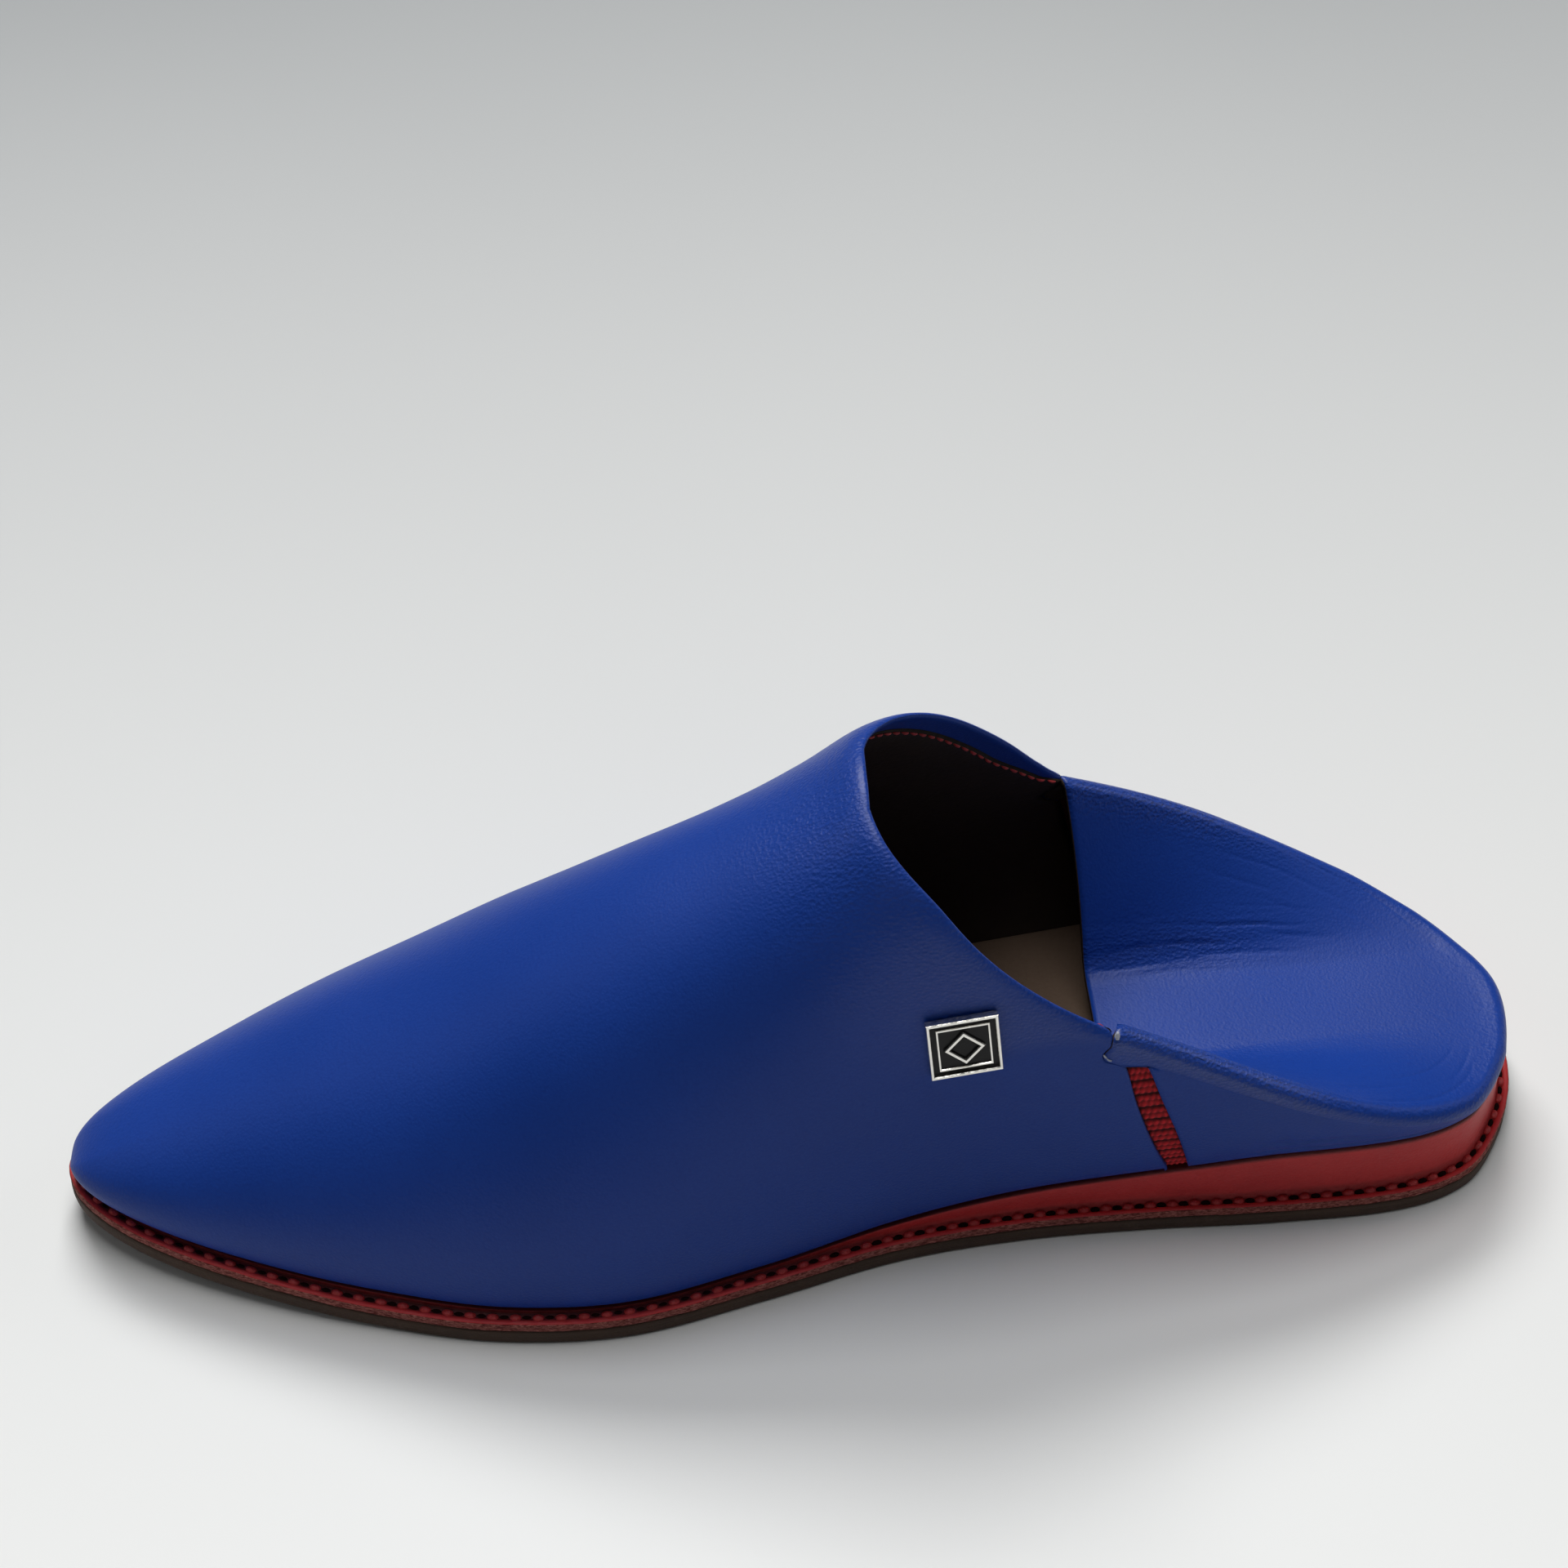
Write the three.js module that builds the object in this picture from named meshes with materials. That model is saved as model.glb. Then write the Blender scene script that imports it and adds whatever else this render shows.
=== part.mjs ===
// Babouche slipper, the left shoe of a pair: a leather slip-on with a pointed toe, a high vamp and a
// low back that is trodden flat over the heel seat.
//
// Millimetres. +X runs from the heel to the toe, +Y to the wearer's left (the outer side), +Z up.
// Every shape is worked out with x = 0 at the back of the heel and z = 0 on the ground. The last line
// of code moves the whole slipper so that its origin is under the middle of its box.

import * as THREE from 'three';
import { mergeVertices } from 'three/addons/utils/BufferGeometryUtils.js';

// Driving dimensions

const LENGTH = 265; // heel to toe along the outsole
const GAP = 0.3; // clearance between two pieces that touch
const SEAM = 0.8; // clearance along the seam between vamp and quarter
const OUTSOLE = 3.4; // thickness of the outsole
const WELT = 1.8; // thickness of the turned-out foot of the red wrap
const FLANGE = 2.6; // how far the outsole and the welt reach past the wall of the wedge
const WALL = 1.8; // thickness of vamp and quarter
const INSOLE = 1.7; // thickness of the insole
const FOLD = { back: 2.6, front: 2.1 }; // outer radius of the fold along the top of the quarter
const SEAT = 22.1; // height of the folded quarter's flat bed over the heel seat
const BED = 11.5; // half-width of that bed
const CREASE = 7; // length of the soft bend between the bed and the slope beside it
const CREASE_ROOM = 0.45; // the most of the slope or the bed that the bend may take
const FLAP_SET_BACK = 3.6; // how far the flap's cut edge runs back towards its middle
const SPINE_BEND = 34; // behind this, the folds of the quarter fan out round the heel

// The upper end of the gore's slot, as a share of the quarter's wall. It lies level under the sloping fold,
// so its share grows towards the heel.
const SLOT_TOP = { front: { x: 80.5, share: 0.885 }, back: { x: 76.5, share: 0.93 } };

// The gore: its slot's width halfway up and at the ends, its own thickness, how far it lies below the
// leather's surface, and the share of the slot that it leaves free at the top.
const GORE = { width: 5, ends: 3.7, thick: 1.1, inset: 0.5, shy: 0.05 };

// The ornament: its place, its size, how far it stands off the leather, its rounding, and its turn.
const ORNAMENT = {
  x: 108.3, z: 55.5, side: 13, thick: 1.3, lift: 0.45, corner: 1.2, bevel: 0.3, tilt: -13,
};

// How finely the pieces are divided.
const OUTLINE_STEPS = 44;
const VAMP_ALONG = 34;
const VAMP_ACROSS = 34;
const CROWDING = 1.6; // above 1, the vamp's lines crowd towards the feather line
const QUARTER_ALONG = 18;
const FOLD_STEPS = 6;
const CREASE_STEPS = 4;
const SLOPE_ROUNDS = 6; // of finding the line that leaves the fold and meets the bed
const SLOT_END = 0.06; // from the slot's end to the next row of points, as a share of the wall above it
const SLOT_STEPS = 6; // up the gore and its slot
const SEAM_STEPS = 3; // up the seam above them

// The last, by distance from the back of the heel.

// Half-widths of the outsole on the outer and the inner side.
const OUTLINE = [
  { x: 0, outer: 0, inner: 0 },
  { x: 5, outer: 18.7, inner: 11.4 },
  { x: 14, outer: 29, inner: 21.8 },
  { x: 27, outer: 32.8, inner: 29.3 },
  { x: 50, outer: 32.8, inner: 33.4 },
  { x: 73, outer: 31.4, inner: 34 },
  { x: 97, outer: 30.9, inner: 34 },
  { x: 120, outer: 32.8, inner: 33.9 },
  { x: 144, outer: 38.1, inner: 35.2 },
  { x: 168, outer: 42.4, inner: 37.2 },
  { x: 190, outer: 40.9, inner: 36.4 },
  { x: 212, outer: 34.9, inner: 31.8 },
  { x: 238, outer: 24.4, inner: 21.7 },
  { x: 254, outer: 15.2, inner: 12.6 },
  { x: LENGTH, outer: 0, inner: 0 },
];

// Height of the feather line, where the upper meets the wedge.
const FEATHER = [
  { x: 0, z: 17.9 },
  { x: 50, z: 16.7 },
  { x: 66, z: 14.5 },
  { x: 82, z: 12.5 },
  { x: 98, z: 10.6 },
  { x: 120, z: 7.8 },
  { x: 145, z: 6.3 },
  { x: 180, z: 6.2 },
  { x: 212, z: 7.1 },
  { x: 240, z: 8.4 },
  { x: LENGTH, z: 10 },
];

// Toe spring: height of the outsole's underside. It lies flat from the heel to the ball.
const SPRING = [
  { x: 0, z: 0 },
  { x: 195, z: 0 },
  { x: 212, z: 0.4 },
  { x: 230, z: 1.6 },
  { x: 248, z: 2.8 },
  { x: LENGTH, z: 4.4 },
];

// Height of the last's ridge. Behind the throat it only shapes the side walls.
const RIDGE = [
  { x: 0, z: 96 },
  { x: 60, z: 99 },
  { x: 90, z: 105 },
  { x: 120, z: 93.9 },
  { x: 130, z: 86.9 },
  { x: 140, z: 81 },
  { x: 160, z: 71.3 },
  { x: 180, z: 60.2 },
  { x: 200, z: 48.5 },
  { x: 220, z: 38.7 },
  { x: 238, z: 29.9 },
  { x: 252, z: 22.7 },
];

// Cross-section: how square its shoulders are (2 is an ellipse), how far the upper bulges past the
// feather line on each side, and the height over which that bulge dies out.
const SECTION = [
  { x: 0, across: 2.5, up: 2.6, outer: 0.3, inner: -0.6, over: 14 },
  { x: 40, across: 2.8, up: 2.8, outer: 2.9, inner: 2.7, over: 45 },
  { x: 80, across: 3.4, up: 3.1, outer: 2.6, inner: 4.6, over: 60 },
  { x: 120, across: 2.4, up: 3.1, outer: 1.6, inner: 3.6, over: 60 },
  { x: 160, across: 2.2, up: 2.2, outer: 1.5, inner: 1.9, over: 47 },
  { x: 200, across: 2.1, up: 2.2, outer: 1, inner: 1.6, over: 35 },
  { x: 240, across: 2.1, up: 2.2, outer: 2, inner: 1.8, over: 25 },
  { x: LENGTH, across: 2.2, up: 2.2, outer: 3.8, inner: 3.3, over: 17 },
];

// Rear edge of the vamp by height: the gore and the seam up to 54, the slanting collar above.
const REAR_EDGE = [
  { z: 15, x: 70.3 },
  { z: 25, x: 74.1 },
  { z: 37, x: 77.9 },
  { z: 47.5, x: 80.3 },
  { z: 54, x: 81.6 },
  { z: 58, x: 86 },
  { z: 62, x: 90.6 },
  { z: 72, x: 100 },
  { z: 82, x: 109.5 },
  { z: 89, x: 118 },
  { z: 92, x: 122 },
];

// How far the collar's edge sits ahead of that on the outer side, and behind it on the inner side.
const SKEW = [
  { z: 45, by: 0 },
  { z: 54, by: 1.2 },
  { z: 60, by: 3.2 },
  { z: 68, by: 5 },
  { z: 76, by: 5 },
  { z: 84, by: 3.8 },
  { z: 92, by: 2.8 },
];

// Height of the fold along the top of the quarter.
const FOLD_LINE = [
  { x: 0, z: 22.3 },
  { x: 12, z: 23 },
  { x: 27, z: 26.8 },
  { x: 42, z: 33.3 },
  { x: 57, z: 41.2 },
  { x: 72, z: 49 },
  { x: 82, z: 53.8 },
];

// Smooth curves through the tables

// A smooth curve through one column of a table. It stays level past both ends.
function curve(rows, column, along = 'x') {
  const at = rows.map((row) => row[along]);
  const value = rows.map((row) => row[column]);
  const end = rows.length - 1;
  const slope = value.map((_, i) => (value[i + 1] - value[i - 1]) / (at[i + 1] - at[i - 1]));
  slope[0] = (2 * (value[1] - value[0])) / (at[1] - at[0]) - slope[1];
  slope[end] = (2 * (value[end] - value[end - 1])) / (at[end] - at[end - 1]) - slope[end - 1];
  return (position) => {
    const p = THREE.MathUtils.clamp(position, at[0], at[end]);
    let i = 0;
    while (i < end - 1 && p >= at[i + 1]) i += 1;
    const span = at[i + 1] - at[i];
    const t = (p - at[i]) / span;
    const chord = value[i] + (value[i + 1] - value[i]) * t * t * (3 - 2 * t);
    return chord + span * t * (1 - t) * (slope[i] * (1 - t) - slope[i + 1] * t);
  };
}

// The same through the squares of a column, so that it rounds itself off where it ends at nothing.
function roundedCurve(rows, column) {
  const squares = curve(rows.map((row) => ({ x: row.x, square: row[column] ** 2 })), 'square');
  return (x) => Math.sqrt(Math.max(0, squares(x)));
}

const halfWidth = { outer: roundedCurve(OUTLINE, 'outer'), inner: roundedCurve(OUTLINE, 'inner') };
const feather = curve(FEATHER, 'z');
const spring = curve(SPRING, 'z');
const foldLine = curve(FOLD_LINE, 'z');
const rearEdge = curve(REAR_EDGE, 'x', 'z');
const skew = curve(SKEW, 'by', 'z');
const squareness = { across: curve(SECTION, 'across'), up: curve(SECTION, 'up') };
const bulge = { outer: curve(SECTION, 'outer'), inner: curve(SECTION, 'inner') };
const bulgeHeight = curve(SECTION, 'over');
const toeTip = { x: LENGTH - FLANGE, z: feather(LENGTH - FLANGE) + GAP };
const rise = roundedCurve([...RIDGE, toeTip].map(({ x, z }) => ({ x, rise: z - toeTip.z })), 'rise');

// Heights by distance from the heel: the upper's lower edge, and the ridge of the last.
const foot = (x) => feather(x) + GAP;
const ridge = (x) => Math.max(foot(x), toeTip.z + rise(x));

const signOf = (side) => (side === 'outer' ? 1 : -1);

// The outline of the sole and the surface of the last

// Travel round one side of the outline is an angle: 0 at the back of the heel, PI at the toe.
const stationAt = (angle) => (LENGTH * (1 - Math.cos(angle))) / 2;
const angleAt = (x) => Math.acos(1 - (2 * x) / LENGTH);

// A point of the outline moved inwards by inset, with the outward normal there.
function outlinePoint(side, angle, inset) {
  const step = 1e-3;
  const at = (a) => {
    const pastEnd = a < 0 || a > Math.PI;
    return new THREE.Vector2(stationAt(a), halfWidth[side](stationAt(a)) * (pastEnd ? -1 : 1));
  };
  const along = at(angle + step).sub(at(angle - step)).normalize();
  const point = at(angle).add(new THREE.Vector2(along.y, -along.x).multiplyScalar(inset));
  return { x: point.x, y: point.y * signOf(side), normal: { x: -along.y, y: along.x * signOf(side) } };
}

// A point on the outside of the last. sweep is 0 at the outer feather line, PI at the inner one.
function lastPoint(angle, sweep) {
  const outer = outlinePoint('outer', angle, FLANGE);
  const inner = outlinePoint('inner', angle, FLANGE);
  const x = (outer.x + inner.x) / 2;
  const cosine = Math.cos(sweep);
  const across = Math.sign(cosine) * Math.abs(cosine) ** (2 / squareness.across(x));
  const height = (ridge(x) - foot(x)) * Math.sin(sweep) ** (2 / squareness.up(x));

  // The bulge follows the outline's normal and changes sides over the middle quarter of the width.
  const lean = THREE.MathUtils.clamp(4 * cosine, -1, 1) / 2 + 0.5;
  const t = Math.min(1, height / bulgeHeight(x));
  const peak = 27 / 4; // of t (1 - t)^2, which is highest a third of the way up
  const out = THREE.MathUtils.lerp(bulge.inner(x), bulge.outer(x), lean) * peak * t * (1 - t) ** 2;
  const bulged = (axis) => {
    const level = (outer[axis] + inner[axis]) / 2 + ((outer[axis] - inner[axis]) / 2) * across;
    return level + THREE.MathUtils.lerp(inner.normal[axis], outer.normal[axis], lean) * out;
  };
  return new THREE.Vector3(bulged('x'), bulged('y'), foot(x) + height);
}

// The sweep at which the last reaches height z on one side.
function sweepAt(side, angle, z) {
  const x = (outlinePoint('outer', angle, FLANGE).x + outlinePoint('inner', angle, FLANGE).x) / 2;
  const share = THREE.MathUtils.clamp((z - foot(x)) / (ridge(x) - foot(x)), 0, 1);
  const sweep = Math.asin(share ** (squareness.up(x) / 2));
  return side === 'outer' ? sweep : Math.PI - sweep;
}

// The angle between low and high at which a rising function passes zero.
function crossing(rising, low, high) {
  const halvings = 30;
  let [from, to] = [low, high];
  for (let i = 0; i < halvings; i += 1) {
    const middle = (from + to) / 2;
    if (rising(middle) > 0) to = middle;
    else from = middle;
  }
  return from;
}

// Where the vamp ends towards the heel. lean is 1 on the outer side, 0 on top, -1 on the inner side.
const rearAt = (z, lean) => rearEdge(z) + skew(z) * lean;

// Building closed bodies

// Evenly spaced shares from 0 to 1.
const steps = (count) => Array.from({ length: count + 1 }, (_, i) => i / count);

function geometryOf(points, triangles) {
  const geometry = new THREE.BufferGeometry();
  const numbers = points.flatMap(({ x, y, z }) => [x, y, z]);
  geometry.setAttribute('position', new THREE.Float32BufferAttribute(numbers, 3));
  geometry.setIndex(triangles.flat());
  const merged = mergeVertices(geometry);
  const index = merged.getIndex().array;
  const kept = [];
  for (let i = 0; i < index.length; i += 3) {
    const [a, b, c] = index.slice(i, i + 3);
    if (a !== b && b !== c && c !== a) kept.push(a, b, c);
  }
  merged.setIndex(kept);
  merged.computeVertexNormals();
  return merged;
}

// A surface through rows of points. Its front faces whoever sees the rows go up and the points go right.
// Where each row ends on its own first point and the end rows shrink or meet, the surface is closed.
function loft(rows) {
  const width = rows[0].length;
  const triangles = [];
  for (let r = 0; r + 1 < rows.length; r += 1) {
    for (let c = 0; c + 1 < width; c += 1) {
      const a = r * width + c;
      triangles.push([a, a + 1, a + width + 1], [a, a + width + 1, a + width]);
    }
  }
  return geometryOf(rows.flat(), triangles);
}

// Gives a sheet a thickness: its front moves back by inset, its back lies deeper by wall. Points on the
// lower edge move level, so that the edge stays flat.
function thicken(open, wall, inset = 0) {
  const position = open.getAttribute('position');
  const normal = open.getAttribute('normal');
  const front = [];
  const back = [];
  for (let i = 0; i < position.count; i += 1) {
    const point = new THREE.Vector3().fromBufferAttribute(position, i);
    const out = new THREE.Vector3().fromBufferAttribute(normal, i);
    if (point.z < foot(point.x) + GAP) out.setZ(0).normalize();
    front.push(point.clone().addScaledVector(out, -inset));
    back.push(point.clone().addScaledVector(out, -inset - wall));
  }
  const index = open.getIndex().array;
  const count = position.count;
  const edges = new Map();
  const triangles = [];
  for (let i = 0; i < index.length; i += 3) {
    const [a, b, c] = index.slice(i, i + 3);
    triangles.push([a, b, c], [a + count, c + count, b + count]);
    [[a, b], [b, c], [c, a]].forEach(([from, to]) => {
      if (!edges.delete(`${to} ${from}`)) edges.set(`${from} ${to}`, [from, to]);
    });
  }
  edges.forEach(([from, to]) => {
    triangles.push([to, from, from + count], [to, from + count, to + count]);
  });
  return geometryOf([...front, ...back], triangles);
}

// A four-cornered section between two points of the outline and two heights that change along the shoe.
function boxSection(from, to, bottom, top) {
  const corner = (point, height) => new THREE.Vector3(point.x, point.y, height(point.x));
  return [corner(from, top), corner(to, top), corner(to, bottom), corner(from, bottom), corner(from, top)];
}

// A piece over the whole outline, between two heights.
function plate(inset, bottom, top) {
  const rows = steps(OUTLINE_STEPS).map((t) => {
    const [outer, inner] = ['outer', 'inner'].map((side) => outlinePoint(side, Math.PI * t, inset));
    return boxSection(outer, inner, bottom, top);
  });
  return loft(rows);
}

// A strip that runs round the whole outline between two insets.
function ring(outerInset, innerInset, bottom, top) {
  const there = steps(OUTLINE_STEPS).map((t) => ['outer', Math.PI * t]);
  const back = steps(OUTLINE_STEPS).map((t) => ['inner', Math.PI * (1 - t)]);
  const rows = [...there, ...back.slice(1)].map(([side, angle]) => {
    const [out, into] = [outerInset, innerInset].map((inset) => outlinePoint(side, angle, inset));
    return boxSection(out, into, bottom, top);
  });
  return loft(rows);
}

// The vamp: one hollow wall from the collar and the gores to the toe

function vamp() {
  const rearAngle = (sweep) => crossing((angle) => {
    const { x, z } = lastPoint(angle, sweep);
    return x - rearAt(z, Math.cos(sweep));
  }, angleAt(REAR_EDGE[0].x / 2), angleAt(LENGTH / 2));
  const sweeps = steps(VAMP_ACROSS).map((t) => {
    const fromRidge = 2 * t - 1;
    return (Math.PI / 2) * (1 + Math.sign(fromRidge) * (1 - (1 - Math.abs(fromRidge)) ** CROWDING));
  });
  const starts = sweeps.map(rearAngle);
  const rows = steps(VAMP_ALONG).map((t) => (
    sweeps.map((sweep, i) => lastPoint(THREE.MathUtils.lerp(starts[i], Math.PI, t), sweep))
  ));
  return thicken(loft(rows), WALL);
}

// The quarter: a low wall round the heel whose upper half is folded in and lies over the heel seat

const FRONT = FOLD_LINE.at(-1).x;
const foldRadius = (x) => THREE.MathUtils.mapLinear(x, 0, FRONT, FOLD.back, FOLD.front);

// The angle behind the toe half of the shoe at which a rising function passes zero.
const crossingAhead = (rising) => crossing(rising, angleAt(FRONT / 2), angleAt(LENGTH / 2));

// How far from the heel the wall's front edge meets the fold, on each side.
const foldFoot = foldLine(FRONT) - foldRadius(FRONT);
const [outerFront, innerFront] = ['outer', 'inner'].map((side) => stationAt(crossingAhead((angle) => (
  lastPoint(angle, sweepAt(side, angle, foldFoot)).x - (rearAt(foldFoot, signOf(side)) - SEAM)
))));
const wallFront = { outer: outerFront, inner: innerFront };

// The height of the wall at a level: 0 is its lower edge, 1 the slot's upper end, 2 the start of the fold.
function wallHeight(side, x, level) {
  const foldX = (x * FRONT) / wallFront[side];
  const top = foldLine(foldX) - foldRadius(Math.min(FRONT, foldX));
  const { front, back } = SLOT_TOP;
  const slotX = THREE.MathUtils.clamp(x, back.x, front.x);
  const share = THREE.MathUtils.mapLinear(slotX, back.x, front.x, back.share, front.share);
  const slotTop = THREE.MathUtils.lerp(foot(x), top, share);
  return level < 1
    ? THREE.MathUtils.lerp(foot(x), slotTop, level)
    : THREE.MathUtils.lerp(slotTop, top, level - 1);
}

// The levels at which the wall has a row of points: up the slot for the gore, then up the seam.
const SLOT_LEVELS = steps(SLOT_STEPS);
const SEAM_LEVELS = steps(SEAM_STEPS).map((t) => THREE.MathUtils.lerp(1 + SLOT_END, 2, t));

// How wide the slot is: its rear edge bows back in the middle, and it ends square.
function slotWidth(level) {
  if (level > 1) return SEAM;
  return THREE.MathUtils.lerp(GORE.ends, GORE.width, Math.sin(Math.PI * level));
}

// The angle at which the wall, at a level, comes within a distance of the vamp's rear edge.
function angleBehindVamp(side, level, distance) {
  return crossingAhead((angle) => {
    const z = wallHeight(side, stationAt(angle), level);
    return lastPoint(angle, sweepAt(side, angle, z)).x - (rearAt(z, signOf(side)) - distance);
  });
}

const wallPoint = (side, angle, level) => (
  lastPoint(angle, sweepAt(side, angle, wallHeight(side, stationAt(angle), level)))
);

// Points of the wall at one travel, 0 at the back of the heel and 1 at the front edge.
const quarterWall = (side, travel) => [...SLOT_LEVELS, ...SEAM_LEVELS].map((level) => (
  wallPoint(side, travel * angleBehindVamp(side, level, slotWidth(level)), level)
));

// One section of the folded quarter, from the lower edge over the fold to the middle of the heel seat.
function quarterSection(side, travel) {
  const wall = quarterWall(side, travel);
  const top = wall.at(-1);
  const radius = foldRadius(top.x);
  const middleX = (quarterWall('outer', travel).at(-1).x + quarterWall('inner', travel).at(-1).x) / 2;
  const fan = Math.max(0, SPINE_BEND - middleX) ** 2 / (2 * SPINE_BEND);
  const spine = new THREE.Vector3(middleX + fan - FLAP_SET_BACK * travel ** 2, 0, top.z);
  const reach = top.distanceTo(spine);
  const inward = spine.clone().sub(top).normalize();
  const at = (depth, z) => top.clone().addScaledVector(inward, depth).setZ(z);

  const corner = Math.max(reach - BED, 2 * radius);
  let slope = 0;
  for (let i = 0; i < SLOPE_ROUNDS; i += 1) {
    const drop = top.z + radius * Math.cos(slope) - SEAT;
    slope = Math.atan2(drop, corner - radius - radius * Math.sin(slope));
  }
  const fold = steps(FOLD_STEPS).slice(1).map((t) => {
    const turn = t * (Math.PI / 2 + slope);
    return at(radius * (1 - Math.cos(turn)), top.z + radius * Math.sin(turn));
  });
  const slopeTop = fold.at(-1);
  const bedCorner = at(corner, SEAT);
  const room = Math.min(slopeTop.distanceTo(bedCorner), reach - corner);
  const bend = Math.min(CREASE / 2, CREASE_ROOM * room);
  const slopeFoot = bedCorner.clone().lerp(slopeTop, bend / slopeTop.distanceTo(bedCorner));
  const crease = new THREE.QuadraticBezierCurve3(slopeFoot, bedCorner, at(corner + bend, SEAT));
  return [
    ...wall,
    ...fold,
    slopeTop.clone().lerp(slopeFoot, 0.5),
    ...crease.getPoints(CREASE_STEPS),
    at((corner + bend + reach) / 2, SEAT),
    at(reach, SEAT),
  ];
}

function quarter() {
  const travels = steps(QUARTER_ALONG);
  const sections = [
    ...travels.slice(1).reverse().map((travel) => quarterSection('inner', travel)),
    ...travels.map((travel) => quarterSection('outer', travel)),
  ];
  return thicken(loft(sections), WALL);
}

// The gores: ribbed elastic let in between vamp and quarter, a little below the leather's surface

function gore(side) {
  const rows = steps(SLOT_STEPS).map((t) => {
    const level = t * (1 - GORE.shy);
    const distances = [slotWidth(level) - GAP, slotWidth(level) / 2, GAP];
    return distances.map((distance) => wallPoint(side, angleBehindVamp(side, level, distance), level));
  });
  if (side === 'outer') rows.forEach((row) => row.reverse());
  return thicken(loft(rows), GORE.thick, GORE.inset);
}

// The ornament: a small square plate, flat on the outer side of the vamp

function ornament() {
  const half = ORNAMENT.side / 2;
  const outline = new THREE.Shape();
  outline.moveTo(-half, -half + ORNAMENT.corner);
  for (let i = 0; i < 4; i += 1) {
    const [sx, sy] = [[-1, 1], [1, 1], [1, -1], [-1, -1]][i];
    const turn = Math.PI - (i * Math.PI) / 2;
    const inner = half - ORNAMENT.corner;
    outline.absarc(sx * inner, sy * inner, ORNAMENT.corner, turn, turn - Math.PI / 2, true);
  }
  const plateDepth = ORNAMENT.thick - 2 * ORNAMENT.bevel;
  const body = new THREE.ExtrudeGeometry(outline, {
    depth: plateDepth,
    curveSegments: 3,
    bevelEnabled: true,
    bevelSegments: 1,
    bevelSize: ORNAMENT.bevel,
    bevelThickness: ORNAMENT.bevel,
    bevelOffset: -ORNAMENT.bevel,
  });
  const angle = angleAt(ORNAMENT.x);
  const sweep = sweepAt('outer', angle, ORNAMENT.z);
  const step = 0.01;
  const forward = lastPoint(angle + step, sweep).sub(lastPoint(angle - step, sweep)).normalize();
  const up = lastPoint(angle, sweep + step).sub(lastPoint(angle, sweep - step)).normalize();
  const out = up.clone().cross(forward).normalize();
  up.crossVectors(forward, out);
  const place = lastPoint(angle, sweep).addScaledVector(out, ORNAMENT.lift + ORNAMENT.bevel);
  body.rotateZ(THREE.MathUtils.degToRad(ORNAMENT.tilt));
  body.applyMatrix4(new THREE.Matrix4().makeBasis(forward.negate(), up, out).setPosition(place));
  body.deleteAttribute('normal');
  body.deleteAttribute('uv');
  return mergeVertices(body);
}

// Assembly

const onOutsole = (x) => spring(x) + OUTSOLE + GAP;

const BLUE_LEATHER = { color: 0x2546a8, roughness: 0.45, metalness: 0 };
const RED_LEATHER = { color: 0x8e2228, roughness: 0.4, metalness: 0 };
const BROWN_LEATHER = { color: 0x4a3529, roughness: 0.8, metalness: 0 };
const INSOLE_LEATHER = { color: 0x5e4a38, roughness: 0.7, metalness: 0 };
const RED_ELASTIC = { color: 0x9c2430, roughness: 0.9, metalness: 0 };
const SILVER = { color: 0xd0d0cc, roughness: 0.25, metalness: 1 };

const PIECES = [
  ['outsole', plate(0, spring, (x) => spring(x) + OUTSOLE), BROWN_LEATHER],
  ['welt', ring(0, FLANGE - GAP, onOutsole, (x) => onOutsole(x) + WELT), RED_LEATHER],
  ['wedge', plate(FLANGE, onOutsole, feather), RED_LEATHER],
  ['insole', plate(FLANGE + WALL + GAP, foot, (x) => foot(x) + INSOLE), INSOLE_LEATHER],
  ['upper_vamp', vamp(), BLUE_LEATHER],
  ['upper_quarter', quarter(), BLUE_LEATHER],
  ['gore_lateral', gore('outer'), RED_ELASTIC],
  ['gore_medial', gore('inner'), RED_ELASTIC],
  ['ornament', ornament(), SILVER],
];

const slipper = new THREE.Group();
PIECES.forEach(([name, geometry, finish]) => {
  const mesh = new THREE.Mesh(geometry, new THREE.MeshStandardMaterial(finish));
  mesh.name = name;
  slipper.add(mesh);
});
const middle = new THREE.Box3().setFromObject(slipper).getCenter(new THREE.Vector3());
slipper.position.set(-middle.x, -middle.y, 0);

export default slipper;
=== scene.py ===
import math
import bmesh
import bpy
import numpy as np
from mathutils import Matrix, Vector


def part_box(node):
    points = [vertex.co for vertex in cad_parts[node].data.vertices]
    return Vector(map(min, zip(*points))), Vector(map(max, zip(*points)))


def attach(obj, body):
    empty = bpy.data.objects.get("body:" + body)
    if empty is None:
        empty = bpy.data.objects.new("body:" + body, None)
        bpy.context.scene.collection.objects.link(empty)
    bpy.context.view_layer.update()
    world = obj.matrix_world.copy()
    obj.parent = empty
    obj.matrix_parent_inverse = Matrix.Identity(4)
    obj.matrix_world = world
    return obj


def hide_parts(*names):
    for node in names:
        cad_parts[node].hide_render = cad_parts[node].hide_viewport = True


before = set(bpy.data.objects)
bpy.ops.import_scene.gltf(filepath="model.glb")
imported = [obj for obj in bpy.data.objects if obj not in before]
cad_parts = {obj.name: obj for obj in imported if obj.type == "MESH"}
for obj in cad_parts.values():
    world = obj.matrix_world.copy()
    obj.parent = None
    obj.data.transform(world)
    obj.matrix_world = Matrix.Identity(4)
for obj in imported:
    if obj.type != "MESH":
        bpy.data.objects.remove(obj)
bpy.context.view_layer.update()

# OUTSOLE
# One layer of dark brown sole leather, a little over three millimetres thick, flat from heel to ball and
# lifting at the toe. Its edge is cut square, the corners are rubbed round, and it carries the whole slipper.
LENGTH = 265.0
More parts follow.
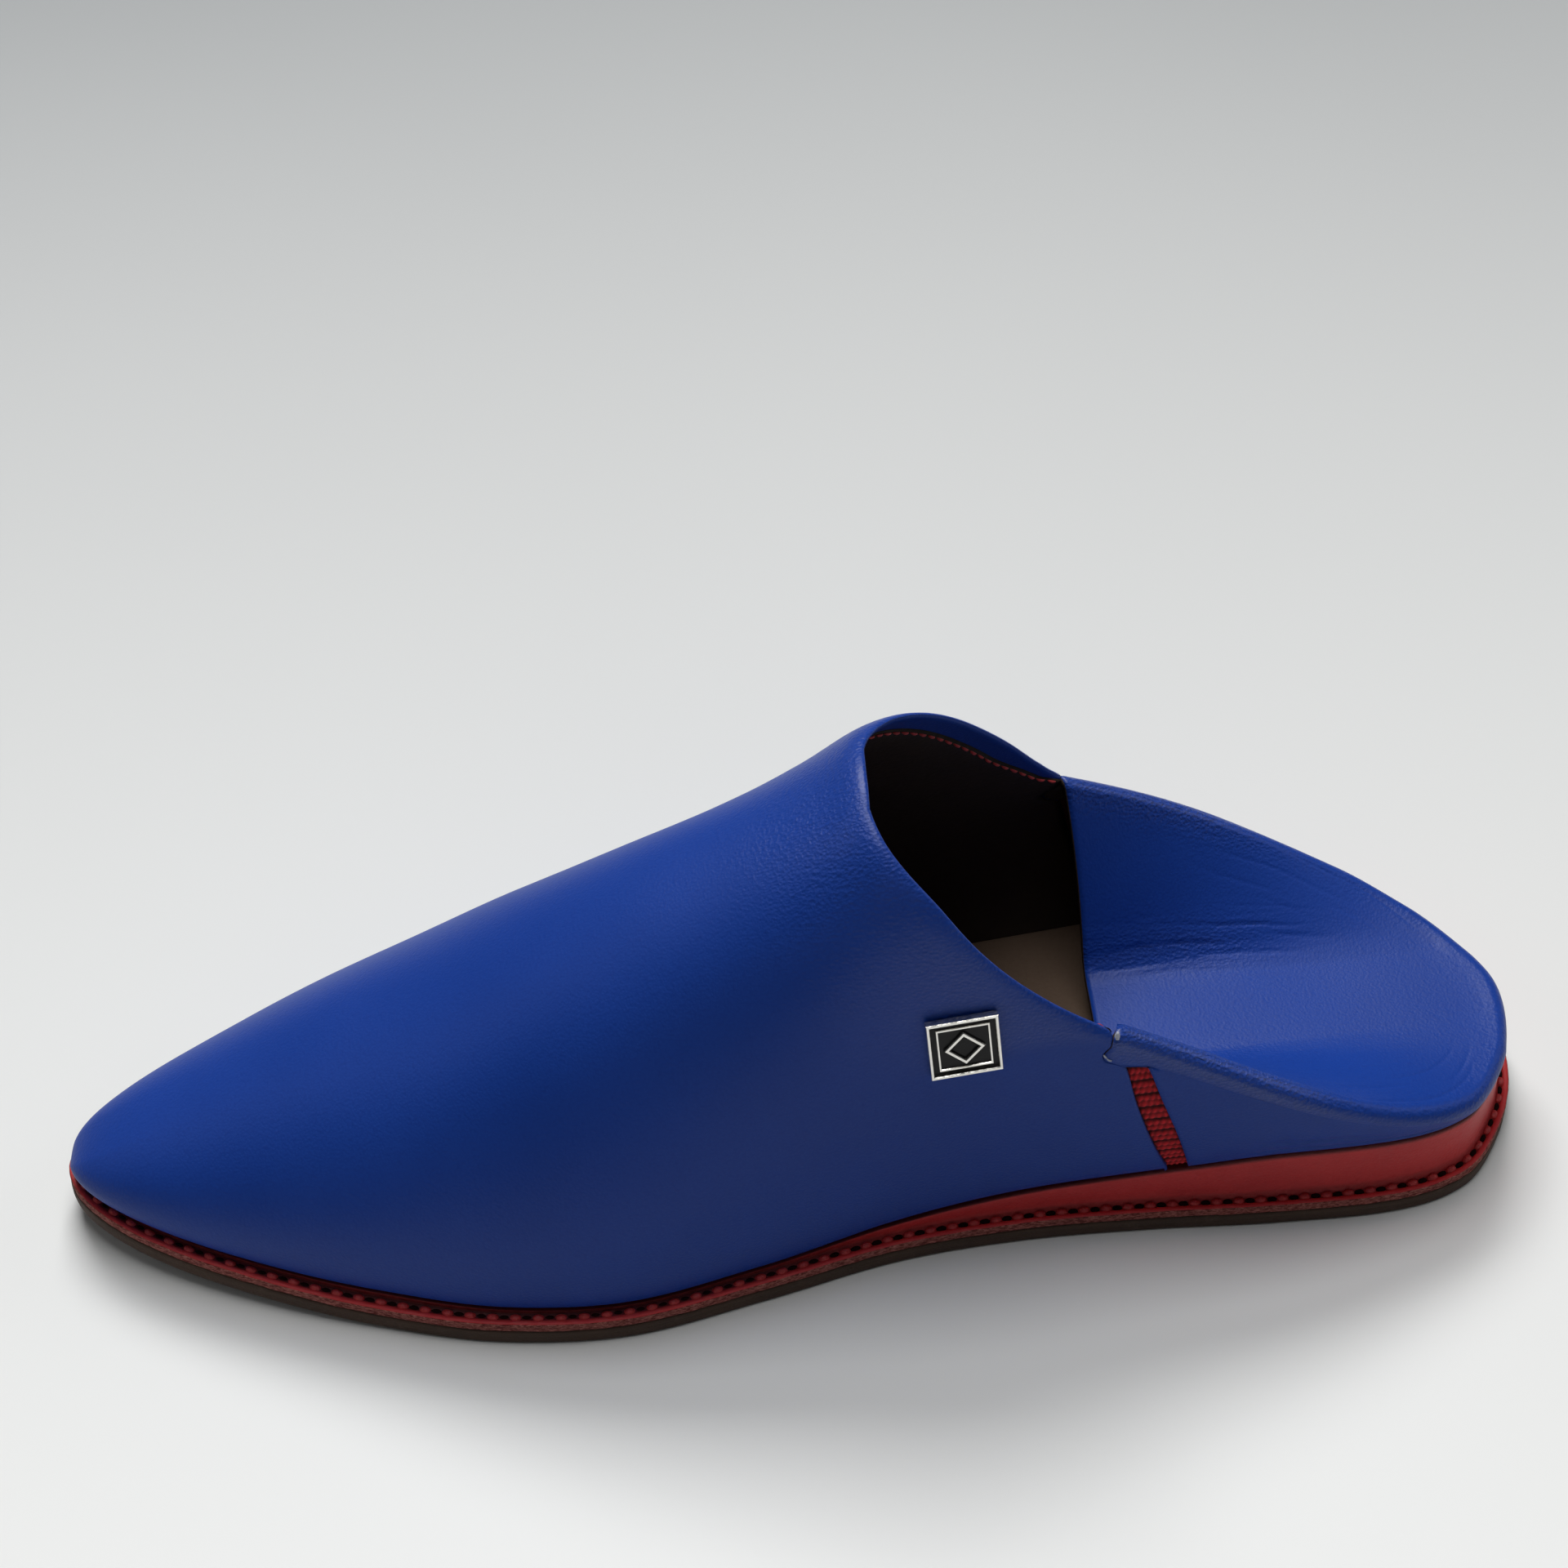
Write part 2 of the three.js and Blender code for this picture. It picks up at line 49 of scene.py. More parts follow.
SOLE_THICKNESS = 3.4
OUTLINE_X = [0, 5, 14, 27, 50, 73, 97, 120, 144, 168, 190, 212, 238, 254, LENGTH]
OUTLINE_OUTER = [0, 18.7, 29, 32.8, 32.8, 31.4, 30.9, 32.8, 38.1, 42.4, 40.9, 34.9, 24.4, 15.2, 0]
OUTLINE_INNER = [0, 11.4, 21.8, 29.3, 33.4, 34, 34, 33.9, 35.2, 37.2, 36.4, 31.8, 21.7, 12.6, 0]


def curve(at, value):
    """A smooth curve through a table, level past both ends."""
    at, value = np.array(at, float), np.array(value, float)
    slope = np.zeros(len(at))
    slope[1:-1] = (value[2:] - value[:-2]) / (at[2:] - at[:-2])
    slope[0] = 2 * (value[1] - value[0]) / (at[1] - at[0]) - slope[1]
    slope[-1] = 2 * (value[-1] - value[-2]) / (at[-1] - at[-2]) - slope[-2]

    def height(x):
        p = np.clip(x, at[0], at[-1])
        i = np.clip(np.searchsorted(at, p, side="right") - 1, 0, len(at) - 2)
        span = at[i + 1] - at[i]
        t = (p - at[i]) / span
        chord = value[i] + (value[i + 1] - value[i]) * t * t * (3 - 2 * t)
        return chord + span * t * (1 - t) * (slope[i] * (1 - t) - slope[i + 1] * t)

    return height


spring = curve([0, 195, 212, 230, 248, LENGTH], [0, 0, 0.4, 1.6, 2.8, 4.4])
squared_width = {
    1: curve(OUTLINE_X, np.square(OUTLINE_OUTER)),
    -1: curve(OUTLINE_X, np.square(OUTLINE_INNER)),
}


def station(angle):
    """Distance from the back of the heel. Angle 0 is the heel, pi the tip of the toe."""
    return LENGTH * (1 - np.cos(angle)) / 2


def outline(side, angle, inset):
    """Points of the sole's outline moved inwards, and their outward normals. Side is 1 outer and -1 inner."""

    def at(a):
        sign = np.where((a < 0) | (a > math.pi), -1.0, 1.0)
        return station(a), np.sqrt(np.maximum(0, squared_width[side](station(a)))) * sign

    step = 1e-3
    (x0, y0), (x1, y1) = at(angle - step), at(angle + step)
    length = np.hypot(x1 - x0, y1 - y0)
    out_x, out_y = -(y1 - y0) / length, (x1 - x0) / length
    x, y = at(angle)
    return x - out_x * inset, (y - out_y * inset) * side, out_x, out_y * side


SOLE_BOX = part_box("outsole")
WIDEST_INNER = -outline(-1, np.linspace(0, math.pi, 600), 0)[1].min()
ORIGIN = np.array([-1000 * SOLE_BOX[0].x, -1000 * SOLE_BOX[0].y - WIDEST_INNER, 0])


def piece(name, points, faces, finishes, marks=None, flat=False):
    """A closed body from points in the slipper's own millimetres, placed in the frame and riding on it."""
    mesh = bpy.data.meshes.new(name)
    where = (np.asarray(points, float).reshape(-1, 3) - ORIGIN) / 1000
    mesh.from_pydata(where.tolist(), [], faces)
    for finish in finishes:
        mesh.materials.append(finish)
    if marks is not None:
        mesh.polygons.foreach_set("material_index", np.array(marks, np.int32))
    build = bmesh.new()
    build.from_mesh(mesh)
    bmesh.ops.remove_doubles(build, verts=build.verts, dist=4e-6)
    bmesh.ops.dissolve_degenerate(build, edges=build.edges, dist=1e-6)
    bmesh.ops.recalc_face_normals(build, faces=build.faces)
    for face in build.faces:
        face.smooth = not flat
    build.to_mesh(mesh)
    build.free()
    made = bpy.data.objects.new(name, mesh)
    bpy.context.scene.collection.objects.link(made)
    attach(made, "root")
    return made


def grid_faces(rows, columns, closed=False, start=0):
    """Faces of a grid of points. A closed one joins its last column to its first."""
    r, c = np.meshgrid(np.arange(rows - 1), np.arange(columns if closed else columns - 1), indexing="ij")
    a = start + r * columns + c
    b = start + r * columns + (c + 1) % columns
    return np.stack([a, b, b + columns, a + columns], -1).reshape(-1, 4).tolist()


ACROSS = 7


def slab(edge, stations=260, across=ACROSS):
    """Rows of points round a plate. Edge lists its lines from top to bottom, each an inset and a height."""
    angles = np.linspace(0, math.pi, stations)
    outer = [outline(1, angles, inset)[:2] + (height,) for inset, height in edge]
    inner = [outline(-1, angles, inset)[:2] + (height,) for inset, height in edge]

    def line(x, y, height):
        return np.stack([x, y, height(x)], -1)

    def spread(a, b, height):
        shares = np.linspace(0, 1, across + 2)[1:-1]
        return [line(a[0] + (b[0] - a[0]) * t, a[1] + (b[1] - a[1]) * t, height) for t in shares]

    rows = [line(*point) for point in outer]
    rows += spread(outer[-1], inner[-1], edge[-1][1])
    rows += [line(*point) for point in reversed(inner)]
    rows += spread(inner[0], outer[0], edge[0][1])
    return np.stack(rows, 1)


class Wire:
    """A socket in an expression: arithmetic on it adds Math nodes."""

    def __init__(self, socket):
        self.socket = socket

    def node(self, kind, settings, inputs, output=0):
        """A node of the same tree: its settings, and then what its sockets hold or are joined to."""
        tree = self.socket.id_data
        made = tree.nodes.new(kind)
        for key, value in settings.items():
            setattr(made, key, value)
        for key, value in inputs.items():
            if isinstance(value, Wire):
                tree.links.new(value.socket, made.inputs[key])
            else:
                made.inputs[key].default_value = value
        return Wire(made.outputs[output])

    def math(self, operation, a, b=0.0):
        return self.node("ShaderNodeMath", {"operation": operation}, {0: a, 1: b})

    def __add__(self, other):
        return self.math("ADD", self, other)

    def __sub__(self, other):
        return self.math("SUBTRACT", self, other)

    def __rsub__(self, other):
        return self.math("SUBTRACT", other, self)

    def __mul__(self, other):
        return self.math("MULTIPLY", self, other)

    __radd__ = __add__

    def clip(self):
        return self.node("ShaderNodeClamp", {}, {0: self})

    def between(self, low, high):
        """0 below low, 1 above high, and smooth from one to the other."""
        inputs = {0: self, 1: low, 2: high}
        return self.node("ShaderNodeMapRange", {"interpolation_type": "SMOOTHSTEP"}, inputs)

    def paint(self, colour, other):
        """One colour where this is 0 and the other where it is 1."""
        colours = {
            6: (*colour, 1) if isinstance(colour, tuple) else colour,
            7: (*other, 1) if isinstance(other, tuple) else other,
        }
        return self.node("ShaderNodeMix", {"data_type": "RGBA"}, {0: self, **colours}, 2)

    def noise(self, size, detail=2.0, roughness=0.5):
        """Cloudy variation whose patches are about size metres wide."""
        inputs = {"Vector": self, "Scale": 1 / size, "Detail": detail, "Roughness": roughness}
        return self.node("ShaderNodeTexNoise", {}, inputs)

    def cells(self, size, feature="F1"):
        """Distance from scattered points about size metres apart."""
        return self.node("ShaderNodeTexVoronoi", {"feature": feature}, {"Vector": self, "Scale": 1 / size})

    def mark(self, name):
        """A value that the mesh holds for each point."""
        return self.node("ShaderNodeAttribute", {"attribute_name": name}, {}, 2)

    def stretch(self, x, y, z):
        return self.node("ShaderNodeMapping", {}, {"Vector": self, "Scale": (x, y, z)})

    def bump(self, depth, strength=1.0):
        """A surface normal from this height, depth metres from 0 to 1."""
        return self.node("ShaderNodeBump", {}, {"Height": self, "Distance": depth, "Strength": strength})


def finish(name, **constants):
    """A new material: its shader, which takes the constants, and its place coordinates in metres."""
    material = bpy.data.materials.new(name)
    material.use_nodes = True
    tree = material.node_tree
    shader = tree.nodes["Principled BSDF"]
    for socket, value in constants.items():
        shader.inputs[socket.replace("_", " ")].default_value = value
    place = Wire(tree.nodes.new("ShaderNodeTexCoord").outputs["Object"])
    return material, shader, place


def join(shader, **wires):
    """Joins what varies over the surface to the shader."""
    for socket, wire in wires.items():
        wire.socket.id_data.links.new(wire.socket, shader.inputs[socket.replace("_", " ")])


sole_leather, shader, place = finish("sole_leather", Specular_IOR_Level=0.3)
layers = place.stretch(60, 60, 2600).noise(1.0, 3)
blotches = place.noise(0.012, 3)
scuffs = place.stretch(1, 3, 1).noise(0.003, 5, 0.7).between(0.55, 0.75)
stain = (layers * 0.6 + blotches * 0.7 - 0.15).clip()
stained = stain.paint((0.03, 0.017, 0.011), (0.1, 0.06, 0.042))
join(
    shader,
    Base_Color=(scuffs * 0.35).paint(stained, (0.12, 0.08, 0.058)),
    Roughness=0.62 + blotches * 0.25,
    Normal=(layers * 0.6 + place.noise(0.0006, 3)).bump(0.00018, 0.8),
)


def sole_top(x):
    return spring(x) + SOLE_THICKNESS


sole_edge = [(0.7, sole_top), (0.25, lambda x: sole_top(x) - 0.06), (0.03, lambda x: sole_top(x) - 0.35)]
sole_edge += [(0.0, lambda x, t=t: spring(x) + SOLE_THICKNESS * t) for t in (0.75, 0.5, 0.3)]
sole_edge += [(0.1, lambda x: spring(x) + 0.3), (0.4, lambda x: spring(x) + 0.06), (1.0, spring)]
loops = slab(sole_edge)
faces = grid_faces(*loops.shape[:2], closed=True)
outsole = piece("outsole_leather", loops, faces, [sole_leather])
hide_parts("outsole")

# RED WRAP
# Thin red leather drawn round the cork and board wedge: a plain wall, turned out at the foot into a narrow
# welt that is sewn down through the outsole. Its cut edge is paler than the dyed face, and the face is
# painted dark as shade under the upper, in the groove and on the low wall of the forefoot.
CLEARANCE = 0.3
WELT_REACH = 2.6
WELT_THICKNESS = 1.8
feather = curve(
    [0, 50, 66, 82, 98, 120, 145, 180, 212, 240, LENGTH],
    [17.9, 16.7, 14.5, 12.5, 10.6, 7.8, 6.3, 6.2, 7.1, 8.4, 10],
)

red_leather, shader, place = finish("red_leather", Specular_IOR_Level=0.3)
mottle = place.noise(0.014, 3)
pores = place.cells(0.0007)
# The near-black that the point mark mixes in is painted shade: under the upper, in the groove and low on the
# forefoot wall.
join(
    shader,
    Base_Color=(place.mark("painted_shade") * 0.94).paint(
        mottle.paint((0.42, 0.02, 0.024), (0.6, 0.034, 0.036)), (0.02, 0.002, 0.003)
    ),
    Roughness=0.42 + mottle * 0.14,
    Normal=(pores + place.noise(0.004, 2) * 1.5).bump(0.00012, 0.6),
)

cut_red, shader, place = finish("cut_edge_red", Roughness=0.85, Specular_IOR_Level=0.2)
fibres = place.stretch(1, 1, 3).noise(0.0009, 4, 0.7)
join(
    shader,
    Base_Color=fibres.between(0.35, 0.7).paint((0.12, 0.022, 0.02), (0.5, 0.17, 0.14)),
    Normal=fibres.bump(0.0004, 1.0),
)


def smooth(value, low, high):
    """0 at low, 1 at high, level beyond them and smooth between. High may be the smaller of the two."""
    t = np.clip((np.asarray(value, float) - low) / (high - low), 0, 1)
    return t * t * (3 - 2 * t)


def welt_bottom(x):
    return spring(x) + SOLE_THICKNESS + 0.02


def welt_top(x):
    return welt_bottom(x) + WELT_THICKNESS + CLEARANCE


def up_wall(share):
    return lambda x: welt_top(x) + (feather(x) - welt_top(x)) * share


def in_groove(drop):
    return lambda x: welt_top(x) - drop * smooth(feather(x) - welt_top(x), 0, 3)


def mark_points(made, name, points, values):
    """Keeps a value from 0 to 1 for each point, such as painted shade or wear, that the finish reads by its
    name.
    """
    where = (np.asarray(points, float).reshape(-1, 3) - ORIGIN).round(2)
    known = {tuple(point): value for point, value in zip(where.tolist(), np.ravel(values).tolist())}
    found = []
    for vertex in made.data.vertices:
        key = tuple((np.array(vertex.co, float) * 1000).round(2).tolist())
        found.append(known.get(key, 0.0))
    held = made.data.attributes.new(name, "FLOAT", "POINT")
    held.data.foreach_set("value", np.array(found, np.float32))


wrap_edge = [(WELT_REACH + 1.6, lambda x: feather(x) + 0.05), (WELT_REACH + 0.5, lambda x: feather(x) + 0.02)]
wrap_edge += [(WELT_REACH + 0.12, lambda x: feather(x) - 0.12 * (feather(x) - welt_top(x)) / 4)]
wrap_edge += [(WELT_REACH + 0.1 * (1 - share), up_wall(share)) for share in (0.9, 0.8, 0.65, 0.5, 0.38, 0.26)]
wrap_edge += [(WELT_REACH - 0.06, up_wall(0.16)), (WELT_REACH - 0.2, up_wall(0.08))]
wrap_edge += [(WELT_REACH - 0.45, up_wall(0.02))]
wrap_edge += [(WELT_REACH - inset, in_groove(drop)) for inset, drop in ((0.7, 0.3), (1.0, 0.42), (1.35, 0.3))]
wrap_edge += [(WELT_REACH - 1.6, welt_top)]
wrap_edge += [(0.5, lambda x: welt_top(x) - 0.02), (0.2, lambda x: welt_top(x) - 0.1)]
raw_from = len(wrap_edge)
wrap_edge += [(0.08, lambda x: welt_top(x) - 0.3), (0.12, lambda x: welt_bottom(x) + 0.6)]
wrap_edge += [(0.1, lambda x: welt_bottom(x) + 0.25), (0.3, welt_bottom), (1.2, welt_bottom)]
raw_to = len(wrap_edge)
loops = slab(wrap_edge, stations=420)
columns = loops.shape[1]
# The cut edge of the welt is a little frayed, along the outer side's lines and again along the inner side's.
fray = np.random.default_rng(7).normal(0, 1, loops.shape[:2])
fray = (fray + np.roll(fray, 1, 0) + np.roll(fray, 2, 0)) / 3
inner_edge = len(wrap_edge) + ACROSS
raw_columns = [*range(raw_from - 1, raw_to - 1), *range(inner_edge, inner_edge + raw_to - raw_from)]
for column in [*range(raw_from - 1, raw_to - 2), *range(inner_edge + 2, inner_edge + raw_to - raw_from + 1)]:
    loops[1:-1, column, 1] += 0.09 * fray[1:-1, column] * np.sign(loops[1:-1, column, 1])
    loops[1:-1, column, 2] += 0.05 * fray[1:-1, column]
faces = grid_faces(*loops.shape[:2], closed=True)
marks = [1 if i % columns in raw_columns else 0 for i in range(len(faces))]
wrap = piece("red_wrap", loops, faces, [red_leather, cut_red], marks)
# How many lines of the edge are painted how dark as shade, from the top down: everywhere, and more along the
# forefoot.
PAINTED_SHADE = [("under the upper", 3, 0.9, 0), ("wall", 7, 0, 0.75), ("groove", 5, 0.3, 0.6), ("welt", 1, 0, 0.35)]
forefoot = smooth(loops[..., 0], 110, 150)
painted_shade = np.zeros(loops.shape[:2])
shaded_lines = [(everywhere, more) for part, number, everywhere, more in PAINTED_SHADE for _ in range(number)]
for column, (everywhere, more) in enumerate(shaded_lines):
    for at in (column, 2 * len(wrap_edge) + ACROSS - 1 - column):
        painted_shade[:, at] = everywhere + more * forefoot[:, at]
mark_points(wrap, "painted_shade", loops, painted_shade)
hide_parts("wedge", "welt")

# WELT STITCHES
# Waxed red thread, one stitch every four millimetres all round, pulled down into a groove at the foot of
# the wall. Between two stitches the thread goes down through an awl slot, drawn as a near-black bead of
# painted shade.
STITCH_PITCH = 4.0
STITCH_LENGTH = 2.2
FINE = 0.1

thread_red, shader, place = finish("thread_red", Roughness=0.5, Specular_IOR_Level=0.5)
strands = place.stretch(1.0, 1.0, 2.2).noise(0.0004, 2)
join(
    shader,
    Base_Color=strands.paint((0.3, 0.012, 0.016), (0.6, 0.045, 0.045)),
    Normal=strands.bump(0.0002, 0.8),
)
# The awl slots are near-black beads of painted shade, where the leather dips between stitches.
painted_slot_shade, shader, place = finish("awl_slot", Roughness=0.9, Specular_IOR_Level=0.1)
join(shader, Base_Color=place.noise(0.001).paint((0.006, 0.0015, 0.0015), (0.022, 0.004, 0.004)))


def resample(path, spacing):
    """Points evenly spaced along a path of rows, each row a point and what goes with it."""
    along = np.concatenate([[0], np.cumsum(np.linalg.norm(np.diff(path[:, :3], axis=0), axis=1))])
    at = np.arange(0, along[-1], spacing)
    return np.stack([np.interp(at, along, path[:, k]) for k in range(path.shape[1])], 1)


def beads(path, pitch, length, width, height, lift, sink=0.5, sides=8, steps=9):
    """Short rounded strands laid along a path of points and normals, such as stitches. Their ends sink."""
    fine = resample(path, FINE)
    normals = fine[:, 3:] / np.linalg.norm(fine[:, 3:], axis=1)[:, None]
    count = int((len(fine) - 1) * FINE / pitch)
    turn = np.linspace(0, 2 * math.pi, sides, endpoint=False)[:, None]
    shape = np.sin(np.linspace(0.12, math.pi - 0.12, steps)) ** 0.45
    points, faces = [], []
    for i in range(count):
        at = (i * pitch + np.linspace(0, length, steps)) / FINE
        k = np.clip(at.astype(int), 1, len(fine) - 2)
        centre, up = fine[k, :3], normals[k]
        along = fine[k + 1, :3] - fine[k - 1, :3]
        along /= np.linalg.norm(along, axis=1)[:, None]
        side = np.cross(along, up)
        centre = centre + up * (lift - sink * (1 - shape))[:, None]
        ring = side[:, None] * np.cos(turn) * width / 2 + up[:, None] * np.sin(turn) * height / 2
        points.append(centre[:, None] + ring * shape[:, None, None])
        first = i * steps * sides
        final = first + (steps - 1) * sides
        faces += grid_faces(steps, sides, closed=True, start=first)
        faces += [list(range(first, first + sides)), list(range(final, final + sides))]
    return np.concatenate(points).reshape(-1, 3), faces


def round_the_sole(inset, height):
    angles = np.linspace(0.02, math.pi - 0.02, 700)
    outer, inner = outline(1, angles, inset), outline(-1, angles[::-1], inset)
    x, y = np.concatenate([outer[0], inner[0]]), np.concatenate([outer[1], inner[1]])
    out = np.stack([np.concatenate([outer[2], inner[2]]), np.concatenate([outer[3], inner[3]])], 1)
    return np.column_stack([x, y, height(x), out * 0.35, np.ones(len(x))])


stitch_path = round_the_sole(WELT_REACH - 1.0, welt_top)
points, faces = beads(stitch_path, STITCH_PITCH, STITCH_LENGTH, width=1.35, height=0.9, lift=0.0)
piece("welt_stitches", points, faces, [thread_red])
# The slot beads are painted shade between the stitches.
slot_path = resample(stitch_path, FINE)[int(STITCH_LENGTH / FINE):]
slot_length = STITCH_PITCH - STITCH_LENGTH
points, faces = beads(slot_path, STITCH_PITCH, slot_length, width=1.0, height=0.5, lift=-0.16, sink=0.1)
piece("welt_awl_slots", points, faces, [painted_slot_shade])

# INSOLE
# Brown leather board that the foot stands on, cut to the inside of the upper and glued on the wedge.
# Its surface is sueded, with an uneven brown nap.
INSOLE_INSET = 4.7
INSOLE_THICKNESS = 1.7

insole_leather, shader, place = finish("insole_leather", Specular_IOR_Level=0.25)
nap = place.noise(0.02, 4)
fuzz = place.noise(0.0009, 3, 0.6)
join(
    shader,
    Base_Color=(nap * 0.7 + fuzz * 0.3).paint((0.085, 0.052, 0.034), (0.17, 0.115, 0.08)),
    Roughness=0.72 + nap * 0.15,
    Normal=(fuzz + place.noise(0.008, 2)).bump(0.00025, 0.7),
)


def foot(x):
    return feather(x) + CLEARANCE


def insole_top(x):
    return foot(x) + INSOLE_THICKNESS


insole_edge = [(INSOLE_INSET + 0.6, insole_top), (INSOLE_INSET + 0.15, lambda x: insole_top(x) - 0.15)]
insole_edge += [(INSOLE_INSET, lambda x: insole_top(x) - 0.5), (INSOLE_INSET, lambda x: foot(x) + 0.1)]
loops = slab(insole_edge, across=15)
faces = grid_faces(*loops.shape[:2], closed=True)
insole = piece("insole_board", loops, faces, [insole_leather])
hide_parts("insole")

# VAMP
# One piece of blue leather pulled over the last while damp, from the pointed toe up to the collar.
# It has no seam: at the collar it is turned in and meets the lining, and its lower edge is tucked and glued
# on the wedge.
WALL = 1.8
RIDGE_X = [0, 60, 90, 120, 130, 140, 160, 180, 200, 220, 238, 252]
RIDGE_Z = [96, 99, 105, 93.9, 86.9, 81, 71.3, 60.2, 48.5, 38.7, 29.9, 22.7]
SECTION_X = [0, 40, 80, 120, 160, 200, 240, LENGTH]
across_power = curve(SECTION_X, [2.5, 2.8, 3.4, 2.4, 2.2, 2.1, 2.1, 2.2])
up_power = curve(SECTION_X, [2.6, 2.8, 3.1, 3.1, 2.2, 2.2, 2.2, 2.2])
bulge_outer = curve(SECTION_X, [0.3, 2.9, 2.6, 1.6, 1.5, 1, 2, 3.8])
bulge_inner = curve(SECTION_X, [-0.6, 2.7, 4.6, 3.6, 1.9, 1.6, 1.8, 3.3])
bulge_height = curve(SECTION_X, [14, 45, 60, 60, 47, 35, 25, 17])
TOE_X = LENGTH - WELT_REACH
TOE_Z = float(foot(TOE_X))
ridge_square = curve([*RIDGE_X, TOE_X], np.square(np.array([*RIDGE_Z, TOE_Z]) - TOE_Z))

# The collar's edge by height: the gore's slot, the tab of the quarter above it, and the slanting collar.
EDGE_Z = [15, 25, 37, 46.5, 47.2, 48.0, 49.2, 50.6, 51.6, 54.2, 58, 62, 72, 82, 89, 92]
EDGE_X = [70.3, 74.1, 77.9, 80.3, 81.2, 83.2, 84.0, 83.2, 82.3, 82.0, 86.3, 90.6, 100, 109.5, 118, 122]
edge_x = curve(EDGE_Z, EDGE_X)
BEHIND_COLLAR, AHEAD_OF_COLLAR = 35, 132
skew = curve([45, 54, 60, 68, 76, 84, 92], [0, 1.2, 3.2, 5, 5, 3.8, 2.8])


def ridge(x):
    return np.maximum(foot(x), TOE_Z + np.sqrt(np.maximum(0, ridge_square(x))))


def angle_at(x):
    return np.arccos(1 - 2 * np.asarray(x, float) / LENGTH)


def last(angle, sweep):
    """Points of the outside of the upper. Sweep is 0 at the outer lower edge and pi at the inner one."""
    outer, inner = outline(1, angle, WELT_REACH), outline(-1, angle, WELT_REACH)
    x = (outer[0] + inner[0]) / 2
    cosine = np.cos(sweep)
    across = np.sign(cosine) * np.abs(cosine) ** (2 / across_power(x))
    rise = (ridge(x) - foot(x)) * np.abs(np.sin(sweep)) ** (2 / up_power(x))
    lean = np.clip(4 * cosine, -1, 1) / 2 + 0.5
    t = np.minimum(1, rise / bulge_height(x))
    out = (bulge_inner(x) + (bulge_outer(x) - bulge_inner(x)) * lean) * 6.75 * t * (1 - t) ** 2
    return np.stack(
        [
            x + (outer[0] - inner[0]) / 2 * across + (inner[2] + (outer[2] - inner[2]) * lean) * out,
            (outer[1] + inner[1]) / 2 + (outer[1] - inner[1]) / 2 * across
            + (inner[3] + (outer[3] - inner[3]) * lean) * out,
            foot(x) + rise,
        ],
        -1,
    )


def unit(vectors):
    return vectors / np.maximum(1e-9, np.linalg.norm(vectors, axis=-1, keepdims=True))


def outward(angle, sweep):
    """The outward normal of the last, turned forwards at the very tip of the toe."""
    a = np.clip(angle, 2e-3, math.pi - 0.02)
    s = np.clip(sweep, 2e-3, math.pi - 2e-3)
    along = last(a + 1e-3, s) - last(a - 1e-3, s)
    up = last(a, s + 1e-3) - last(a, s - 1e-3)
    normal = unit(np.cross(up, along))
    tip = smooth(angle, math.pi - 0.2, math.pi)[..., None]
    return unit(normal * (1 - tip) + np.array([1, 0, 0.25]) * tip)


def edge_at(z, lean):
    return edge_x(z) + skew(z) * lean


def crossing(ahead_of, shape):
    """The angle on each line at which ahead_of turns true, found by halving."""
    low = np.full(shape, float(angle_at(BEHIND_COLLAR)))
    high = np.full(shape, float(angle_at(AHEAD_OF_COLLAR)))
    for _ in range(34):
        middle = (low + high) / 2
        ahead = ahead_of(middle)
        low, high = np.where(ahead, low, middle), np.where(ahead, middle, high)
    return (low + high) / 2


def rear_angle(sweep):
    """The angle at which each line up the vamp reaches the collar's edge."""

    def ahead_of(angle):
        at = last(angle, sweep)
        return at[:, 0] > edge_at(at[:, 2], np.cos(sweep))

    return crossing(ahead_of, len(sweep))


# Lines up the vamp, spaced evenly along the collar's edge and closer at the seam over each gore.
trial = np.linspace(0, 1, 3000)
trial = math.pi / 2 * (1 + np.sign(2 * trial - 1) * (1 - (1 - np.abs(2 * trial - 1)) ** 1.9))
rim = last(rear_angle(trial), trial)
step = np.linalg.norm(np.diff(rim, axis=0), axis=1)
step = np.minimum(step, 0.8) * (1 + 2.0 * (smooth(rim[1:, 2], 44, 47) - smooth(rim[1:, 2], 53, 58)))
sweeps = np.interp(np.linspace(0, 1, 216), np.concatenate([[0], np.cumsum(step)]) / step.sum(), trial)
start = rear_angle(sweeps)
rim = last(start, sweeps)
rim_tangent = unit(np.gradient(rim, axis=0))
ahead = last(start + 1e-3, sweeps) - rim
slant = np.linalg.norm(np.cross(unit(ahead), rim_tangent), axis=1)
angle_per_mm = 1e-3 / np.linalg.norm(ahead, axis=1) / np.clip(slant, 0.45, 1)
angle_per_mm = np.convolve(np.pad(angle_per_mm, 4, mode="edge"), np.ones(9) / 9, "valid")
on_collar = smooth(rim[:, 2], 51.5, 56)


def from_edge(distance):
    """The angle on each line at a distance in from the collar's edge."""
    return start + distance * angle_per_mm


def waves(points):
    """Slow unevenness of hand-lasted leather, between -1 and 1."""
    x, y, z = points[..., 0], points[..., 1], points[..., 2]
    slow = np.sin(x / 9.1 + 1.3 * np.sin(y / 13 + 0.4) + z / 17)
    slow = slow * np.sin(y / 8.3 + z / 11 + 0.7 * np.sin(x / 21))
    quick = np.sin(x / 4.7 + z / 5.9 + 2) * np.sin(y / 5.3 - z / 7.1 + x / 12)
    return 0.7 * slow + 0.3 * quick


roll = 0.55 + 3.6 * on_collar
outer_drop = 0.35 + 0.85 * on_collar
inner_roll = 0.3 + 0.8 * on_collar
shares = np.linspace(0, 1, 176) ** 1.08


def tucked(above):
    """How far the leather turns in where it meets the wedge, by the height above the feather line."""
    return 0.8 * (1 - np.sqrt(np.maximum(0, 1 - np.clip(1 - above / 1.3, 0, 1) ** 2)))


